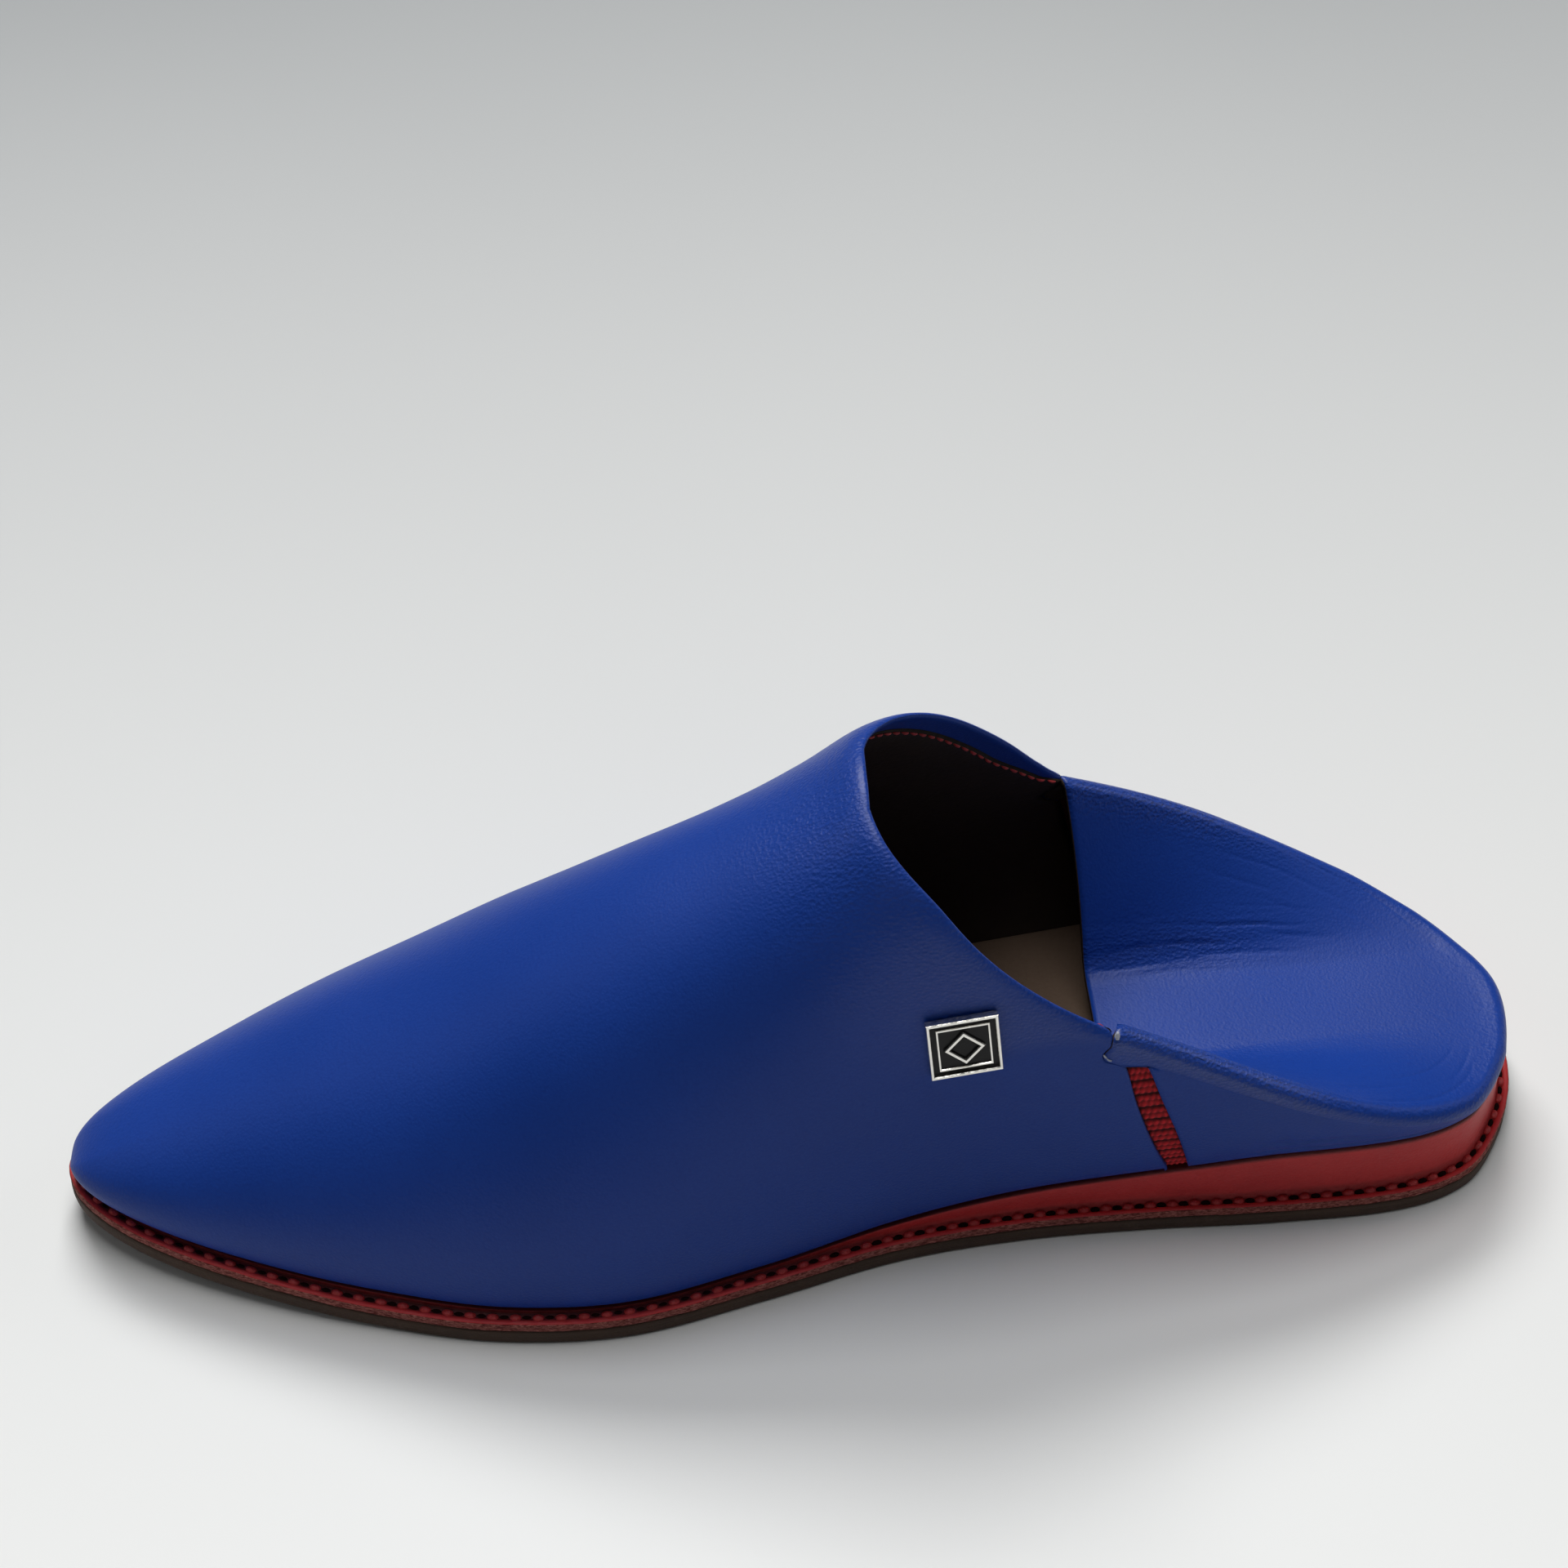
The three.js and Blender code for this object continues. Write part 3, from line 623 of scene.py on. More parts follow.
rows = []
for share in shares[::-1]:
    angle = from_edge(roll) + (math.pi - from_edge(roll)) * share
    base = last(angle, sweeps)
    above = base[:, 2] - foot(base[:, 0])
    fade = smooth(share, 0, 0.04) * smooth(share, 1, 0.94) * smooth(above, 0, 5)
    rows.append(base - outward(angle, sweeps) * (tucked(above) - 0.11 * fade * waves(base))[:, None])
for turn in np.linspace(0, math.pi, 17)[1:-1]:
    if turn <= math.pi / 2:
        angle = from_edge(roll * (1 - math.sin(turn)))
        depth = outer_drop * (1 - math.cos(turn))
    else:
        angle = from_edge(inner_roll * (1 - math.sin(turn)))
        depth = outer_drop + (outer_drop - WALL) * math.cos(turn)
    rows.append(last(angle, sweeps) - outward(angle, sweeps) * depth[:, None])
for share in shares:
    angle = from_edge(inner_roll) + (math.pi - from_edge(inner_roll)) * share
    rows.append(last(angle, sweeps) - outward(angle, sweeps) * WALL)
rows = np.stack(rows)
lines = len(sweeps)
faces = grid_faces(*rows.shape[:2])
for r in range(len(rows) // 2):
    a, b = r * lines, (len(rows) - 1 - r) * lines
    faces.append([a, a + lines, b - lines, b])
    faces.append([a + lines - 1, b + lines - 1, b - 1, a + 2 * lines - 1])

blue_leather, shader, place = finish("blue_leather", Specular_IOR_Level=0.2, Coat_Roughness=0.28)
drift = place.noise(0.035, 2)
grain = place.cells(0.00045, "SMOOTH_F1")
wrinkle = place.noise(0.0007, 3, 0.6)
worn = place.mark("worn")
crackle = place.stretch(1, 1.5, 1.5).cells(0.0009) + place.stretch(2, 1, 1).noise(0.0008, 3, 0.7)
dust = (1 - place.cells(0.016).between(0.012, 0.02)) * place.noise(0.05).between(0.5, 0.6)
dyed = drift.paint((0.0045, 0.036, 0.24), (0.008, 0.05, 0.315))
join(
    shader,
    Base_Color=(dust * 0.7).paint((grain * 0.35).paint(dyed, (0.003, 0.018, 0.17)), (0.45, 0.48, 0.52)),
    Roughness=0.37 + drift * 0.08 + wrinkle * 0.1 - worn * 0.12,
    Coat_Weight=(worn * 0.45).clip(),
    Normal=(grain * 0.7 + wrinkle * 0.7 + crackle * worn * 5.5).bump(0.00007, 0.8),
)
vamp = piece("vamp_leather", rows, faces, [blue_leather])
handled = np.zeros(rows.shape[:2])
handled[:len(shares)] = on_collar * smooth(shares[::-1], 0.13, 0.0)[:, None]
handled[len(shares):len(shares) + 9] = on_collar
mark_points(vamp, "worn", rows, 0.45 * handled)
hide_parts("upper_vamp")

# LINING
# Dark brown lining leather glued inside the vamp. It stops four millimetres short of the collar's edge,
# where the turned-in blue leather shows, and is sewn there with red thread.
TURN_IN = 4.0
LINING_THICKNESS = 0.42
LINING_END = math.pi - 0.06

lining_leather, shader, place = finish("lining_leather", Specular_IOR_Level=0.3)
lining_nap = place.noise(0.006, 4)
join(
    shader,
    Base_Color=lining_nap.paint((0.012, 0.0065, 0.004), (0.034, 0.02, 0.013)),
    Roughness=0.6 + lining_nap * 0.2,
    Normal=place.noise(0.0008, 3).bump(0.0002, 0.6),
)
lining_start = 0.02 + 2.0 * smooth(rim[:, 2], 54.2, 56) + (TURN_IN - 2.02) * smooth(rim[:, 2], 56, 66)


def lined(share, depth):
    """A row of points inside the vamp, a share of the way from the lining's edge to its end in the toe."""
    angle = from_edge(lining_start) + (LINING_END - from_edge(lining_start)) * share
    return last(angle, sweeps) - outward(angle, sweeps) * depth


rows = [lined(share, WALL + 0.02) for share in shares[::-2]]
for share in shares[::2]:
    thick = LINING_THICKNESS * smooth(share, 0, 0.004) * smooth(share, 1, 0.99) + 0.03
    rows.append(lined(share, WALL + thick))
rows = np.stack(rows)
piece("vamp_lining", rows, grid_faces(*rows.shape[:2]), [lining_leather])

picked = rim[:, 2] > 52
sewn = sweeps[picked]
angle = (start + (lining_start + 0.75) * angle_per_mm)[picked]
inward = -outward(angle, sewn)
path = np.concatenate([last(angle, sewn) + inward * (WALL + LINING_THICKNESS), inward], 1)
points, faces = beads(path, pitch=2.3, length=1.75, width=0.62, height=0.5, lift=0.16, sink=0.3, sides=6)
piece("collar_stitches", points, faces, [thread_red])

# QUARTER
# One blue strip round the heel, its upper half folded in and trodden flat over the heel seat.
# The fold is soft and finely cracked, and the flap's front edge is cut, showing thin brown leather.
FRONT = 82.0  # where the fold's front end is
SEAT = 22.1  # height of the flap's face where it lies on the heel seat
BED = 11.5  # how far from the middle line it lies flat
CREASE = 7.0  # length of the bend from the slope to the flat bed
SPINE_BEND = 34.0
SET_BACK = 3.6
FOLD_STEPS, SLOPE_STEPS, BEND_STEPS, BED_STEPS = 21, 52, 14, 30
fold_line = curve([0, 12, 27, 42, 57, 72, FRONT], [22.3, 23, 26.8, 33.3, 41.2, 49, 53.8])


def fold_radius(x):
    return 2.6 - 0.5 * np.asarray(x) / FRONT


def wall_height(side, x, level):
    """Heights up the wall: level 0 is its lower edge, 1 the top of the gore's slot and 2 the fold's start."""
    fold_x = np.minimum(FRONT, x * FRONT / WALL_FRONT[side])
    top = fold_line(fold_x) - fold_radius(fold_x)
    slot_top = foot(x) + (top - foot(x)) * (0.93 - 0.045 * np.clip((x - 76.5) / 4, 0, 1))
    in_slot = foot(x) + (slot_top - foot(x)) * level
    return np.where(level < 1, in_slot, slot_top + (top - slot_top) * (level - 1))


def sweep_at(side, angle, z):
    """The sweep at which the last has a height, on its outer or inner side."""
    x = (outline(1, angle, WELT_REACH)[0] + outline(-1, angle, WELT_REACH)[0]) / 2
    share = np.clip((z - foot(x)) / (ridge(x) - foot(x)), 0, 1)
    sweep = np.arcsin(share ** (up_power(x) / 2))
    return sweep if side > 0 else math.pi - sweep


def front_of_fold(side):
    """How far from the heel the fold's front end is on one side."""
    z = fold_line(FRONT) - fold_radius(FRONT)
    return station(crossing(lambda a: last(a, sweep_at(side, a, z))[..., 0] > edge_at(z, side) - 0.8, ()))


WALL_FRONT = {side: float(front_of_fold(side)) for side in (1, -1)}


def slot_width(level):
    """How far the wall's front edge stays behind the vamp: a slot for the gore, with a seam above it."""
    return np.where(level > 1, 0.1, 3.7 + 1.3 * np.sin(math.pi * np.clip(level, 0, 1)))


def wall_point(side, angle, level):
    return last(angle, sweep_at(side, angle, wall_height(side, station(angle), level)))


def angle_behind(side, level, distance):
    def ahead_of(angle):
        point = wall_point(side, angle, level)
        return point[..., 0] > edge_at(point[..., 2], side) - distance

    return crossing(ahead_of, np.shape(level))


levels = np.concatenate([np.linspace(0, 0.06, 6), np.linspace(0.06, 1, 44)[1:], np.linspace(1.03, 2, 14)])
travels = np.linspace(0, 1, 104) ** 0.85


def quarter_half(side):
    """One side's wall, from the heel forwards and from its lower edge up to the fold, and its normals."""
    angle = travels[:, None] * angle_behind(side, levels, slot_width(levels))[None]
    wall = wall_point(side, angle, levels[None])
    above = wall[..., 2] - foot(wall[..., 0])
    facing = outward(angle, sweep_at(side, angle, wall[..., 2]))
    return wall - facing * tucked(above)[..., None], facing


halves, wall_normals = {}, {}
for side in (1, -1):
    halves[side], wall_normals[side] = quarter_half(side)
middle_x = (halves[1][:, -1, 0] + halves[-1][:, -1, 0]) / 2
spine_x = middle_x + np.maximum(0, SPINE_BEND - middle_x) ** 2 / (2 * SPINE_BEND) - SET_BACK * travels ** 2


def flap(side):
    """The rest of that side, over the fold, down the slope and along the flat bed to the middle line."""
    top = halves[side][:, -1]
    spine = np.stack([spine_x, np.zeros(len(top)), top[:, 2]], 1)
    reach = np.linalg.norm(spine - top, axis=1)
    inward = (spine - top) / reach[:, None]
    radius = fold_radius(top[:, 0])
    corner = np.maximum(reach - BED, 2 * radius)
    slope = np.zeros(len(top))
    for _ in range(8):
        drop = top[:, 2] + radius * np.cos(slope) - SEAT
        slope = np.arctan2(drop, corner - radius - radius * np.sin(slope))

    def at(depth, z):
        point = top + inward * depth[:, None]
        return np.concatenate([point[:, :2], np.broadcast_to(z, len(top))[:, None]], 1)

    rows = []
    for t in np.linspace(0, 1, FOLD_STEPS + 1)[1:]:
        turn = t * (math.pi / 2 + slope)
        rows.append(at(radius * (1 - np.cos(turn)), top[:, 2] + radius * np.sin(turn)))
    slope_top, bed_corner = rows[-1], at(corner, SEAT)
    run = np.linalg.norm(bed_corner - slope_top, axis=1)
    bend = np.minimum(CREASE / 2, 0.45 * np.minimum(run, reach - corner))
    slope_foot = bed_corner + (slope_top - bed_corner) * (bend / run)[:, None]
    after = at(corner + bend, SEAT)
    rows += [slope_top + (slope_foot - slope_top) * t for t in np.linspace(0, 1, SLOPE_STEPS + 1)[1:]]
    for t in np.linspace(0, 1, BEND_STEPS + 1)[1:]:
        rows.append(slope_foot * (1 - t) ** 2 + bed_corner * 2 * t * (1 - t) + after * t ** 2)
    for t in np.linspace(0, 1, BED_STEPS + 1)[1:]:
        rows.append(at(corner + bend + (reach - corner - bend) * t, SEAT))
    rows = np.stack(rows, 1)
    crossed = np.clip(np.linalg.norm(rows[..., :2] - top[:, None, :2], axis=-1) / reach[:, None], 0, 1)
    rows[..., 0] -= 1.7 * np.sin(math.pi * crossed ** 0.8) * travels[:, None] ** 5
    return rows


whole = {side: np.concatenate([halves[side], flap(side)], 1) for side in (1, -1)}
sheet = np.concatenate([whole[-1][:0:-1], whole[1]])
# The two sides meet at the back in one soft curve, except at the wall's lower edge, which keeps its place.
SOFTENED = 14
back = len(sheet) // 2
near_back = slice(back - SOFTENED, back + SOFTENED + 1)
one_side = slice(back - SOFTENED - 1, back + SOFTENED)
other_side = slice(back - SOFTENED + 1, back + SOFTENED + 2)
free = 0.5 * smooth(np.arange(sheet.shape[1]), 4, 34)[:, None]
for _ in range(60):
    between = (sheet[one_side] + sheet[other_side]) / 2
    sheet[near_back] += free * (between - sheet[near_back])
normal = unit(np.cross(np.gradient(sheet, axis=0), np.gradient(sheet, axis=1)))
if normal[back, 20, 0] > 0:
    normal = -normal
normal[:, -1] = (0, 0, 1)
normal[:, :len(levels)] = np.concatenate([wall_normals[-1][:0:-1], wall_normals[1]])

columns = sheet.shape[1]
wall_end = halves[1].shape[1]
crease = wall_end + FOLD_STEPS + SLOPE_STEPS + BEND_STEPS // 2
run = np.cumsum(np.linalg.norm(np.diff(sheet, axis=1), axis=2), axis=1)
run = np.concatenate([np.zeros((len(sheet), 1)), run], 1)
from_fold = run - run[:, wall_end:wall_end + 1]
from_crease = run - run[:, crease:crease + 1]
x, y, z = sheet[..., 0], sheet[..., 1], sheet[..., 2]
is_outer = (np.arange(len(sheet)) >= back)[:, None]


def wrinkles(along, across, spacing, seed):
    """Narrow creases side by side along the leather, which wander, and fade in and out. 1 is deepest."""
    wander = across / spacing + 0.3 * np.sin(along / 8 + seed) + 0.13 * np.sin(along / 3.3 + 2 * seed)
    nearest = np.round(wander)
    fade = smooth(np.sin(along / 9 + nearest * 2.4 + seed), -0.2, 0.7)
    return (1 - np.abs(np.sin(math.pi * wander))) ** 2.2 * fade


def window(value, low, high, soft):
    """1 from low to high and 0 outside, with soft edges."""
    return smooth(value, low - soft, low) * smooth(value, high + soft, high)


def press(value, middle, width):
    """1 at the middle, and falling off on both sides like a press of a finger."""
    return np.exp(-(((value - middle) / width) ** 2))


# Where the far slope meets the bed the leather is gathered into creases, most of them near the front edge.
gather = press(from_crease, -3.5, 5.0) * smooth(x, 28, 46) * np.where(is_outer, 0.35, 1)
depth = 0.34 * wrinkles(x, from_crease + x * 0.06, 1.75, 0.7) * gather
depth += 0.16 * wrinkles(x, from_crease - x * 0.03, 0.95, 2.1) * gather
# The inside of the near crest has long fine creases towards the heel.
inside = window(from_fold, 4, 15, 3) * window(x, 16, 50, 10) * np.where(is_outer, 1, 0.45)
depth += 0.2 * wrinkles(x, from_fold + x * 0.05, 2.3, 4.0) * (inside * smooth(np.abs(y), 11, 19))
# Low on the wall, where it is pushed down, two creases rise from the heel above the feather line.
above = z - foot(x)
low = window(x, 24, 50, 8) * smooth(above, 0.4, 1.2) * smooth(from_fold, -0.6, -2.2)
depth += 0.42 * press(above - 0.035 * (x - 24), 1.9, 0.42) * low
depth += 0.3 * press(above - 0.085 * (x - 20), 3.6, 0.55) * low * smooth(x, 30, 40)
# The fold itself is finely cracked, most of all near its front end.
cracked = press(from_fold, 3.0, 3.5) * smooth(x, 40, 62) + 0.35 * press(from_fold, 3.5, 3.0)
depth += 0.05 * wrinkles(x, from_fold, 1.4, 3.0) * cracked
# A broad shallow dent marks where a heel has stood, and the whole sheet is a little uneven.
depth += 0.35 * np.exp(-(((x - 36) / 17) ** 2) - ((y + 1) / 11) ** 2) * smooth(from_crease, -1, 3)
depth -= 0.1 * waves(sheet)
# Nothing is pressed in at the wall's edges, where it meets its neighbours, and less at the flap's cut edge.
edges = smooth(1 - np.abs(np.linspace(-1, 1, len(sheet))), 0, 0.02)[:, None] * smooth(above, 0, 1.2)
face_side = sheet - normal * (depth * np.where(from_fold < 0, edges, np.maximum(edges, 0.4)))[..., None]
rows = np.concatenate([face_side, sheet - normal * WALL])
count = len(sheet)


def two_sheets(count, columns):
    """Faces of two grids of points, the one behind the other."""
    return grid_faces(count, columns) + grid_faces(count, columns, start=count * columns)


def side_faces(count, columns, row=None, column=None):
    """Faces that join one row or one column of a grid to the same one of the grid behind it."""
    if column is None:
        at, step = row * columns + np.arange(columns - 1), 1
    else:
        at, step = np.arange(count - 1) * columns + column, columns
    behind = at + count * columns
    return np.stack([at, at + step, behind + step, behind], -1).tolist()


blue_side, cut_side, inner_side = 0, 1, 2
faces = two_sheets(count, columns)
marks = [blue_side] * (len(faces) // 2) + [inner_side] * (len(faces) // 2)
faces += side_faces(count, columns, row=0) + side_faces(count, columns, row=count - 1)
marks += [cut_side] * (len(faces) - len(marks))
faces += side_faces(count, columns, column=0)
marks += [blue_side] * (len(faces) - len(marks))

cut_brown, shader, place = finish("cut_edge_brown", Roughness=0.85, Specular_IOR_Level=0.2)
fibres = place.noise(0.0007, 4, 0.7)
join(
    shader,
    Base_Color=fibres.paint((0.012, 0.009, 0.01), (0.085, 0.058, 0.045)),
    Normal=fibres.bump(0.0003, 1.0),
)
quarter_finishes = [blue_leather, cut_brown, lining_leather]
quarter = piece("quarter_leather", rows, faces, quarter_finishes, marks)
near_front = smooth(x, 34, 58)
wear = press(from_fold, 2.5, 5.5) * (0.25 + 0.75 * near_front)
wear += 0.5 * press(from_crease, -3.5, 5) * near_front
mark_points(quarter, "worn", rows, np.concatenate([np.clip(wear, 0, 1), np.zeros(sheet.shape[:2])]))
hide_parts("upper_quarter")

# SEAM ENDS
# Where the fold meets the vamp the seam is closed on both sides with a few turns of undyed thread.
# On the outer side a little glue has set white in the corner above it.
thread_white, shader, place = finish("undyed_thread", Roughness=0.6, Specular_IOR_Level=0.3)
strands = place.noise(0.0003, 2)
join(
    shader,
    Base_Color=strands.paint((0.2, 0.22, 0.3), (0.6, 0.62, 0.68)),
    Normal=strands.bump(0.0001, 0.7),
)
SEAM_X, SEAM_Z = [84.4, 83.6, 81.9], [49.9, 48.7, 47.8]
GLUE_X, GLUE_Z = 82.2, 54.0
for side, name in ((1, "lateral"), (-1, "medial")):
    along = np.linspace(0, 1, 30)
    angle = angle_at(np.interp(along, [0, 0.5, 1], SEAM_X))
    sweep = sweep_at(side, angle, np.interp(along, [0, 0.5, 1], SEAM_Z))
    path = np.concatenate([last(angle, sweep), outward(angle, sweep)], 1)
    points, faces = beads(path, pitch=1.25, length=1.15, width=0.36, height=0.3, lift=0.1, sink=0.2, sides=6)
    piece("seam_thread_" + name, points, faces, [thread_white])
angle = angle_at(np.array([GLUE_X]))
sweep = sweep_at(1, angle, np.array([GLUE_Z]))
centre, out = last(angle, sweep)[0], outward(angle, sweep)[0]
tall = np.linspace(0, math.pi, 13)[:, None]
turns = np.linspace(0, 2 * math.pi, 20, endpoint=False)[None]
ball = np.stack([np.sin(tall) * np.cos(turns), np.sin(tall) * np.sin(turns), np.cos(tall) + 0 * turns], -1)
lump = 1 + 0.25 * np.sin(3 * ball[..., :1] + 2) + 0.22 * np.sin(4 * ball[..., 1:2] + 5 * ball[..., 2:] + 1)
ball = ball * lump * np.array([0.5, 0.35, 0.8]) + centre + out * 0.02
piece("seam_glue", ball, grid_faces(*ball.shape[:2], closed=True), [thread_white])

# GORES
# Ribbed red elastic let in on both sides between vamp and quarter, so that the collar gives.
# It lies a little below the leather and shows as cross ribs of slanting threads, with the gaps between them
# painted dark as shade.
RIB_PITCH = 3.6
GORE_DEPTH = 1.15
GORE_BACK = 1.6
GORE_TUCK = 0.7

elastic, shader, place = finish("red_elastic", Roughness=0.8, Specular_IOR_Level=0.2)
height_mark = place.mark("rib")
weave = place.noise(0.0007, 2)
# The colour follows the rib height: the low gaps between ribs are painted dark as shade.
lit = (height_mark * 0.8 + weave * 0.35).between(0.25, 0.95)
join(
    shader,
    Base_Color=lit.paint((0.04, 0.002, 0.004), (0.6, 0.022, 0.03)),
    Normal=weave.bump(0.0003, 0.7),
)
for side, node in ((1, "gore_lateral"), (-1, "gore_medial")):
    up, wide = 170, 30
    rungs = np.linspace(-0.01, 1.0, up)
    beyond = smooth(rungs, 0.93, 1.0) * 2.6
    rows, under, ribs = [], [], []
    for share in np.linspace(0, 1, wide):
        width = slot_width(np.minimum(rungs, 1)) + 2 * GORE_TUCK
        angle = angle_behind(side, rungs, width * (1 - share) - GORE_TUCK)
        base = last(angle, sweep_at(side, angle, wall_point(side, angle, rungs)[:, 2] + beyond))
        inward = -outward(angle, sweep_at(side, angle, base[:, 2]))
        height = base[:, 2] - foot(base[:, 0])
        rib = 0.5 - 0.5 * np.cos(4 * math.pi * height / RIB_PITCH)
        deep_rib = 0.5 - 0.5 * np.cos(2 * math.pi * height / RIB_PITCH)
        strand = 0.5 + 0.5 * np.cos(2 * math.pi * (share * 6 / 1.15 + height / 2.4))
        raised = (0.55 * rib ** 0.5 + 0.45 * deep_rib ** 0.4) * (0.55 + 0.45 * strand)
        ribs.append(raised * smooth(share, 0.06, 0.2) * smooth(share, 0.94, 0.8))
        rows.append(base + inward * (GORE_DEPTH - 0.55 * raised)[:, None])
        under.append(base + inward * GORE_BACK)
    points = np.concatenate([np.stack(rows, 1), np.stack(under, 1)])
    faces = two_sheets(up, wide)
    faces += side_faces(up, wide, column=0) + side_faces(up, wide, column=wide - 1)
    faces += side_faces(up, wide, row=0) + side_faces(up, wide, row=up - 1)
    made = piece(node + "_elastic", points, faces, [elastic])
    mark_points(made, "rib", points, np.concatenate([np.stack(ribs, 1).ravel(), np.zeros(up * wide)]))
    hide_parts(node)

# ORNAMENT
# A small cast metal square on the outer side: a bright raised rim round a black enamelled field,
# with a thinner square and a plain lozenge on it. Two prongs hold it through the leather.
ORNAMENT_SIDE = 12.4
RIM_WIDTH = 0.62
ORNAMENT_X = 108.3
ORNAMENT_HEIGHT = 55.5
ORNAMENT_TILT = math.radians(-13)

silver, shader, place = finish("silver", Metallic=1.0)
tarnish = place.noise(0.0025, 3)
join(
    shader,
    Base_Color=tarnish.paint((0.62, 0.6, 0.55), (0.88, 0.87, 0.83)),
    Roughness=0.14 + tarnish * 0.16,
    Normal=place.noise(0.0012, 2).bump(0.0001, 0.5),
)
enamel, shader, place = finish("black_enamel", Specular_IOR_Level=0.2)
join(
    shader,
    Base_Color=place.noise(0.003).paint((0.0015, 0.0015, 0.002), (0.005, 0.0045, 0.005)),
    Roughness=0.25 + place.noise(0.001) * 0.15,
    Normal=place.noise(0.002, 2).bump(0.00015, 0.5),
)

ornament_angle = float(angle_at(ORNAMENT_X))
ornament_sweep = float(sweep_at(1, ornament_angle, ORNAMENT_HEIGHT))
near = last(np.array([ornament_angle - 0.01, ornament_angle + 0.01]), np.full(2, ornament_sweep))
forward = unit(near[1] - near[0])
near = last(np.full(2, ornament_angle), np.array([ornament_sweep - 0.01, ornament_sweep + 0.01]))
upward = unit(near[1] - near[0])
out = unit(np.cross(upward, forward))
upward = np.cross(forward, out)
seat_point = last(np.array(ornament_angle), np.array(ornament_sweep)) + out * 0.3
cosine, sine = math.cos(ORNAMENT_TILT), math.sin(ORNAMENT_TILT)
basis = np.stack([upward * sine - forward * cosine, upward * cosine + forward * sine, out])


def bar(loop, width, low, high, crown=0.18):
    """A flat-topped bar with rounded shoulders that follows a closed loop of corners, as cast."""
    loop = np.array(loop, float)
    rows = []
    for i in range(len(loop)):
        before, here, after = loop[i - 1], loop[i], loop[(i + 1) % len(loop)]
        one, two = unit(here - before), unit(after - here)
        mitre = unit(np.array([-(one + two)[1], (one + two)[0]]))
        reach = width / 2 / max(0.3, abs(mitre @ np.array([-one[1], one[0]])))
        profile = [(-1, low), (-1, high - crown), (-0.62, high), (0.62, high), (1, high - crown), (1, low)]
        rows.append([[*(here + mitre * reach * across), z] for across, z in profile])
    rows.append(rows[0])
    return np.array(rows) @ basis + seat_point


def box_loop(half):
    return [(-half, -half), (half, -half), (half, half), (-half, half)]


half = ORNAMENT_SIDE / 2 - RIM_WIDTH / 2
points, faces = [], []
for loop, width, low, high in (
    (box_loop(half), RIM_WIDTH, 0.0, 1.35),
    (box_loop(half - 1.45), 0.45, 0.6, 1.15),
    ([(-3.1, 0), (0, -3.1), (3.1, 0), (0, 3.1)], 0.7, 0.6, 1.4),
):
    rows = bar(loop, width, low, high)
    faces += grid_faces(len(rows), 6, closed=True, start=sum(len(p) for p in points))
    points.append(rows.reshape(-1, 3))
piece("ornament_metal", np.concatenate(points), faces, [silver], flat=True)
# The enamel is a low cushion: rings of points from the middle of its back round to the middle of its face.
half = ORNAMENT_SIDE / 2 - 0.4
field = [[[0, 0, 0.0]] * 32]
for depth, inset in ((0.0, 0.0), (0.75, 0.0), (0.85, 0.2), (0.8, 1.2), (0.84, 3.2)):
    corners = np.array(box_loop(half - inset))
    ring = []
    for a, b in zip(corners, np.roll(corners, -1, 0)):
        ring += [[*(a + (b - a) * t), depth] for t in np.linspace(0, 1, 9)[:-1]]
    field.append(ring)
field.append([[0, 0, 0.9]] * 32)
rows = np.array(field, float) @ basis + seat_point
plate = piece("ornament_enamel", rows, grid_faces(*rows.shape[:2], closed=True), [enamel])
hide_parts("ornament")

# FLOOR, LIGHT AND CAMERA
# A plain pale table that darkens towards the back, under five soft lights, the strongest of them above and
# behind. The sky is pale where the camera sees it and gives next to no light.
bpy.ops.mesh.primitive_grid_add(x_subdivisions=8, y_subdivisions=8, size=6, location=(0, 0, 0))
floor = bpy.context.object
floor.name = "floor"
paper, shader, place = finish("pale_table", Specular_IOR_Level=0.25)
towards_back = place.node("ShaderNodeSeparateXYZ", {}, {0: place}, 1)
shade = towards_back.node("ShaderNodeMapRange", {}, {0: towards_back, 1: 0.16, 2: -0.44})
shade = (shade + place.noise(0.3) * 0.06 - 0.03).clip()
join(
    shader,
    Base_Color=shade.paint((0.93, 0.935, 0.92), (0.26, 0.27, 0.275)),
    Roughness=0.6 + place.noise(0.1) * 0.1,
)
floor.data.materials.append(paper)

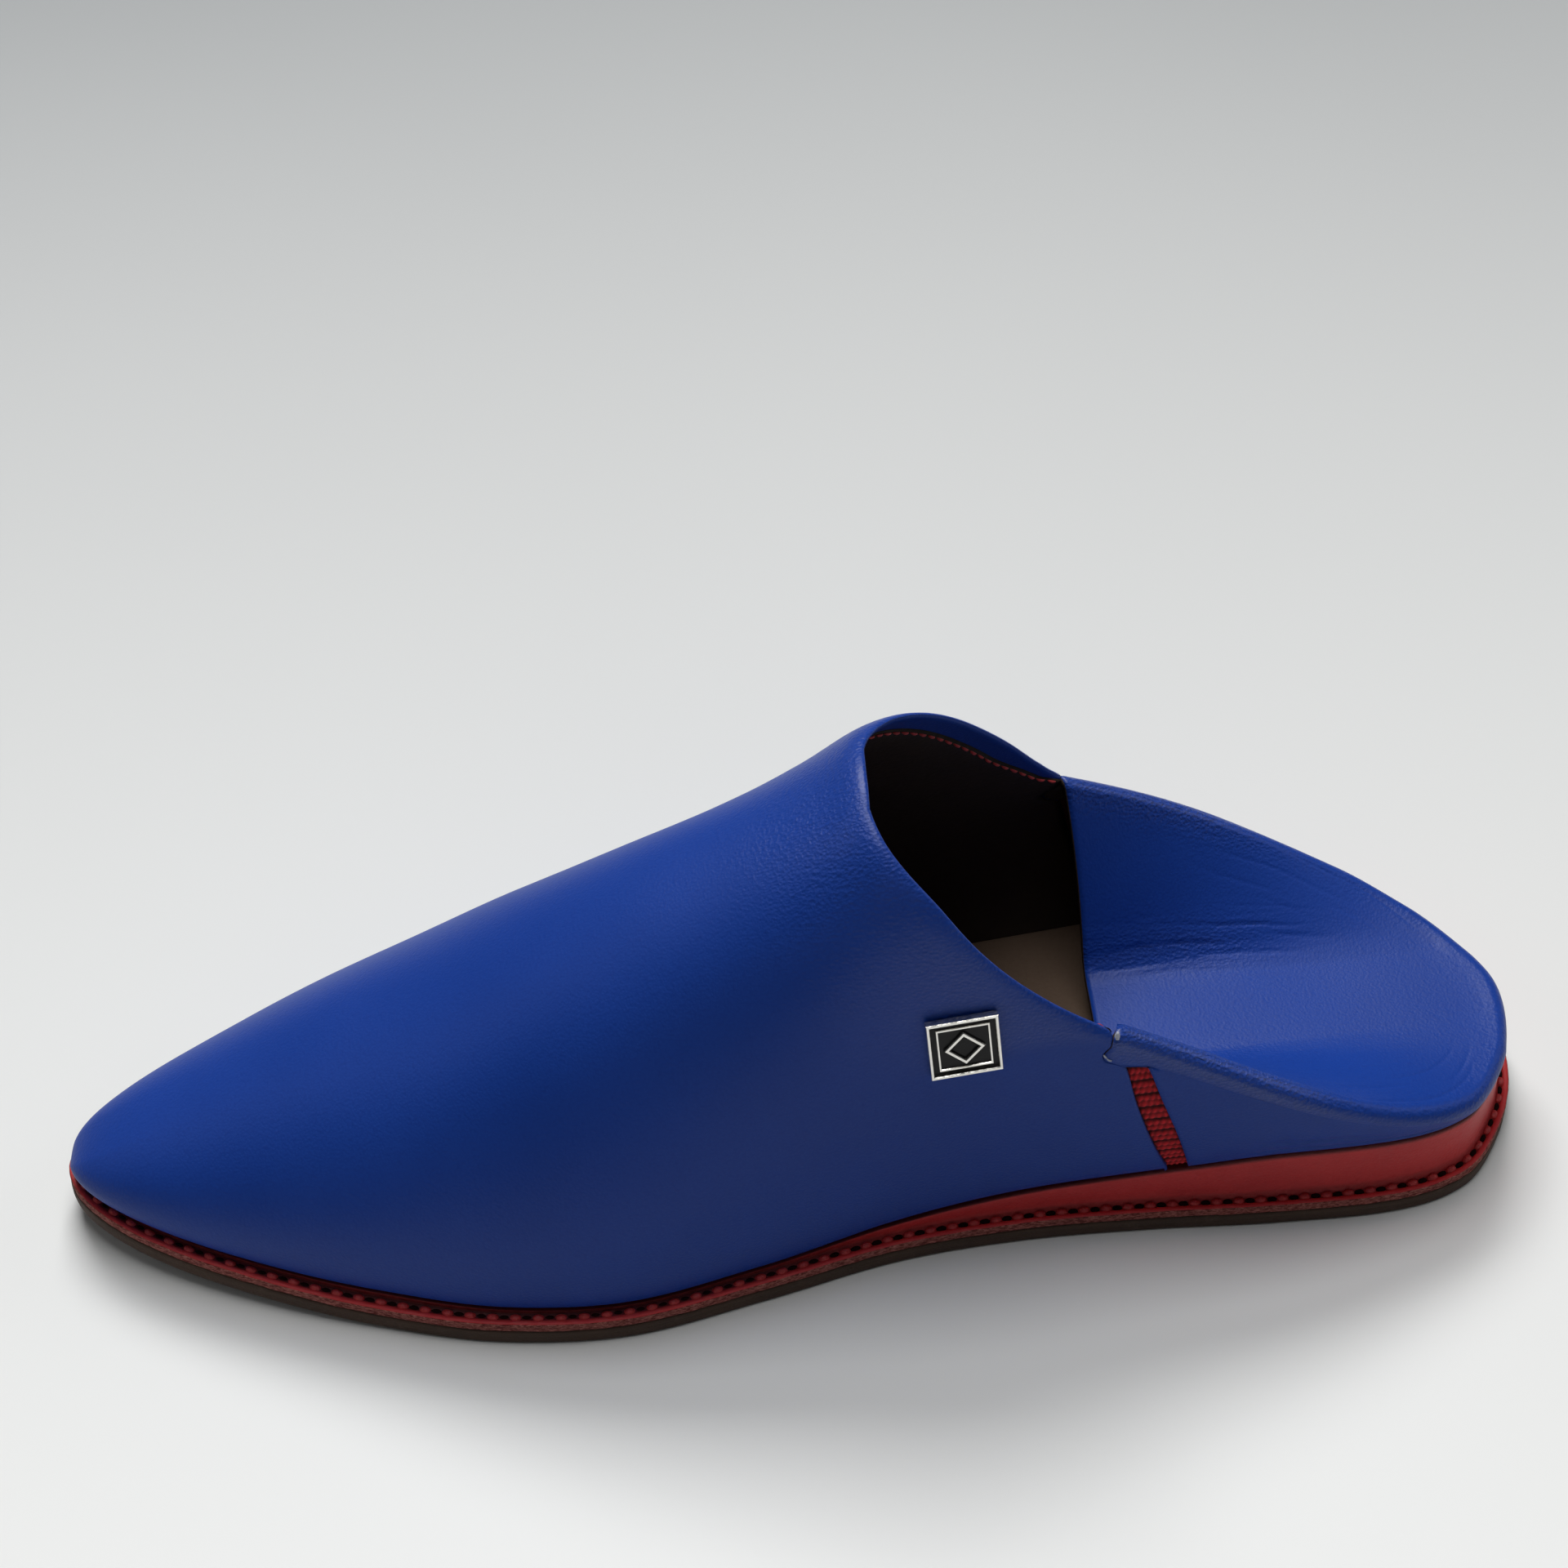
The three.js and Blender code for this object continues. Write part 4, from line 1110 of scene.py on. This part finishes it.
world = bpy.data.worlds.new("soft_sky")
world.use_nodes = True
background = world.node_tree.nodes["Background"]
background.inputs["Color"].default_value = (0.86, 0.93, 1.0, 1)
seen = Wire(world.node_tree.nodes.new("ShaderNodeLightPath").outputs["Is Camera Ray"]) * 0.55 + 0.03
world.node_tree.links.new(seen.socket, background.inputs["Strength"])
bpy.context.scene.world = world


def stand(made, right, up, back, at):
    """Places a light or camera, which looks away from its back."""
    matrix = np.eye(4)
    matrix[:3] = np.stack([right, up, back, at], 1)
    made.matrix_world = Matrix(matrix.tolist())
    bpy.context.scene.collection.objects.link(made)


def soft_light(name, at, size, power):
    """A rectangle of light that faces the slipper, at the frame's origin."""
    lamp = bpy.data.lights.new(name, "AREA")
    lamp.shape, lamp.size, lamp.size_y = "RECTANGLE", size[0], size[1]
    lamp.energy = power
    back = unit(np.array(at, float))
    right = unit(np.cross([0, 1, 0.01], back))
    stand(bpy.data.objects.new(name, lamp), right, np.cross(back, right), back, at)


soft_light("overhead", at=(0, -0.2, 1.6), size=(0.8, 0.8), power=11)
soft_light("behind", at=(0.1, -0.8, 1.1), size=(0.7, 0.45), power=13.5)
soft_light("toe_side", at=(1.5, -0.3, 0.9), size=(0.8, 0.8), power=1.6)
soft_light("heel_side", at=(-1.5, -0.3, 0.9), size=(0.8, 0.8), power=2.6)
soft_light("front", at=(0.1, 1.5, 1.1), size=(1.6, 0.8), power=1.35)

# The camera stands off from a point on the floor, both in the slipper's own millimetres.
AIM = (124.51, -86.31, 0)
DISTANCE = 695.93
FOCAL_LENGTH = 78.989625
PITCH, YAW, TILT = math.radians(46.91), math.radians(7.12), math.radians(-0.1)
heading = np.array([-math.sin(YAW), -math.cos(YAW), 0])
view = heading * math.cos(PITCH) + np.array([0, 0, -math.sin(PITCH)])
right = unit(np.cross(heading, [0, 0, 1]))
above = np.cross(right, view)
cosine, sine = math.cos(TILT), math.sin(TILT)
camera = bpy.data.objects.new("camera", bpy.data.cameras.new("camera"))
camera.data.sensor_width = 36
camera.data.lens = FOCAL_LENGTH
camera.data.clip_start, camera.data.clip_end = 0.05, 50
eye = (np.array(AIM) - view * DISTANCE - ORIGIN) / 1000
stand(camera, right * cosine + above * sine, above * cosine - right * sine, -view, eye)
bpy.context.scene.camera = camera
bpy.context.scene.view_settings.view_transform = "Standard"
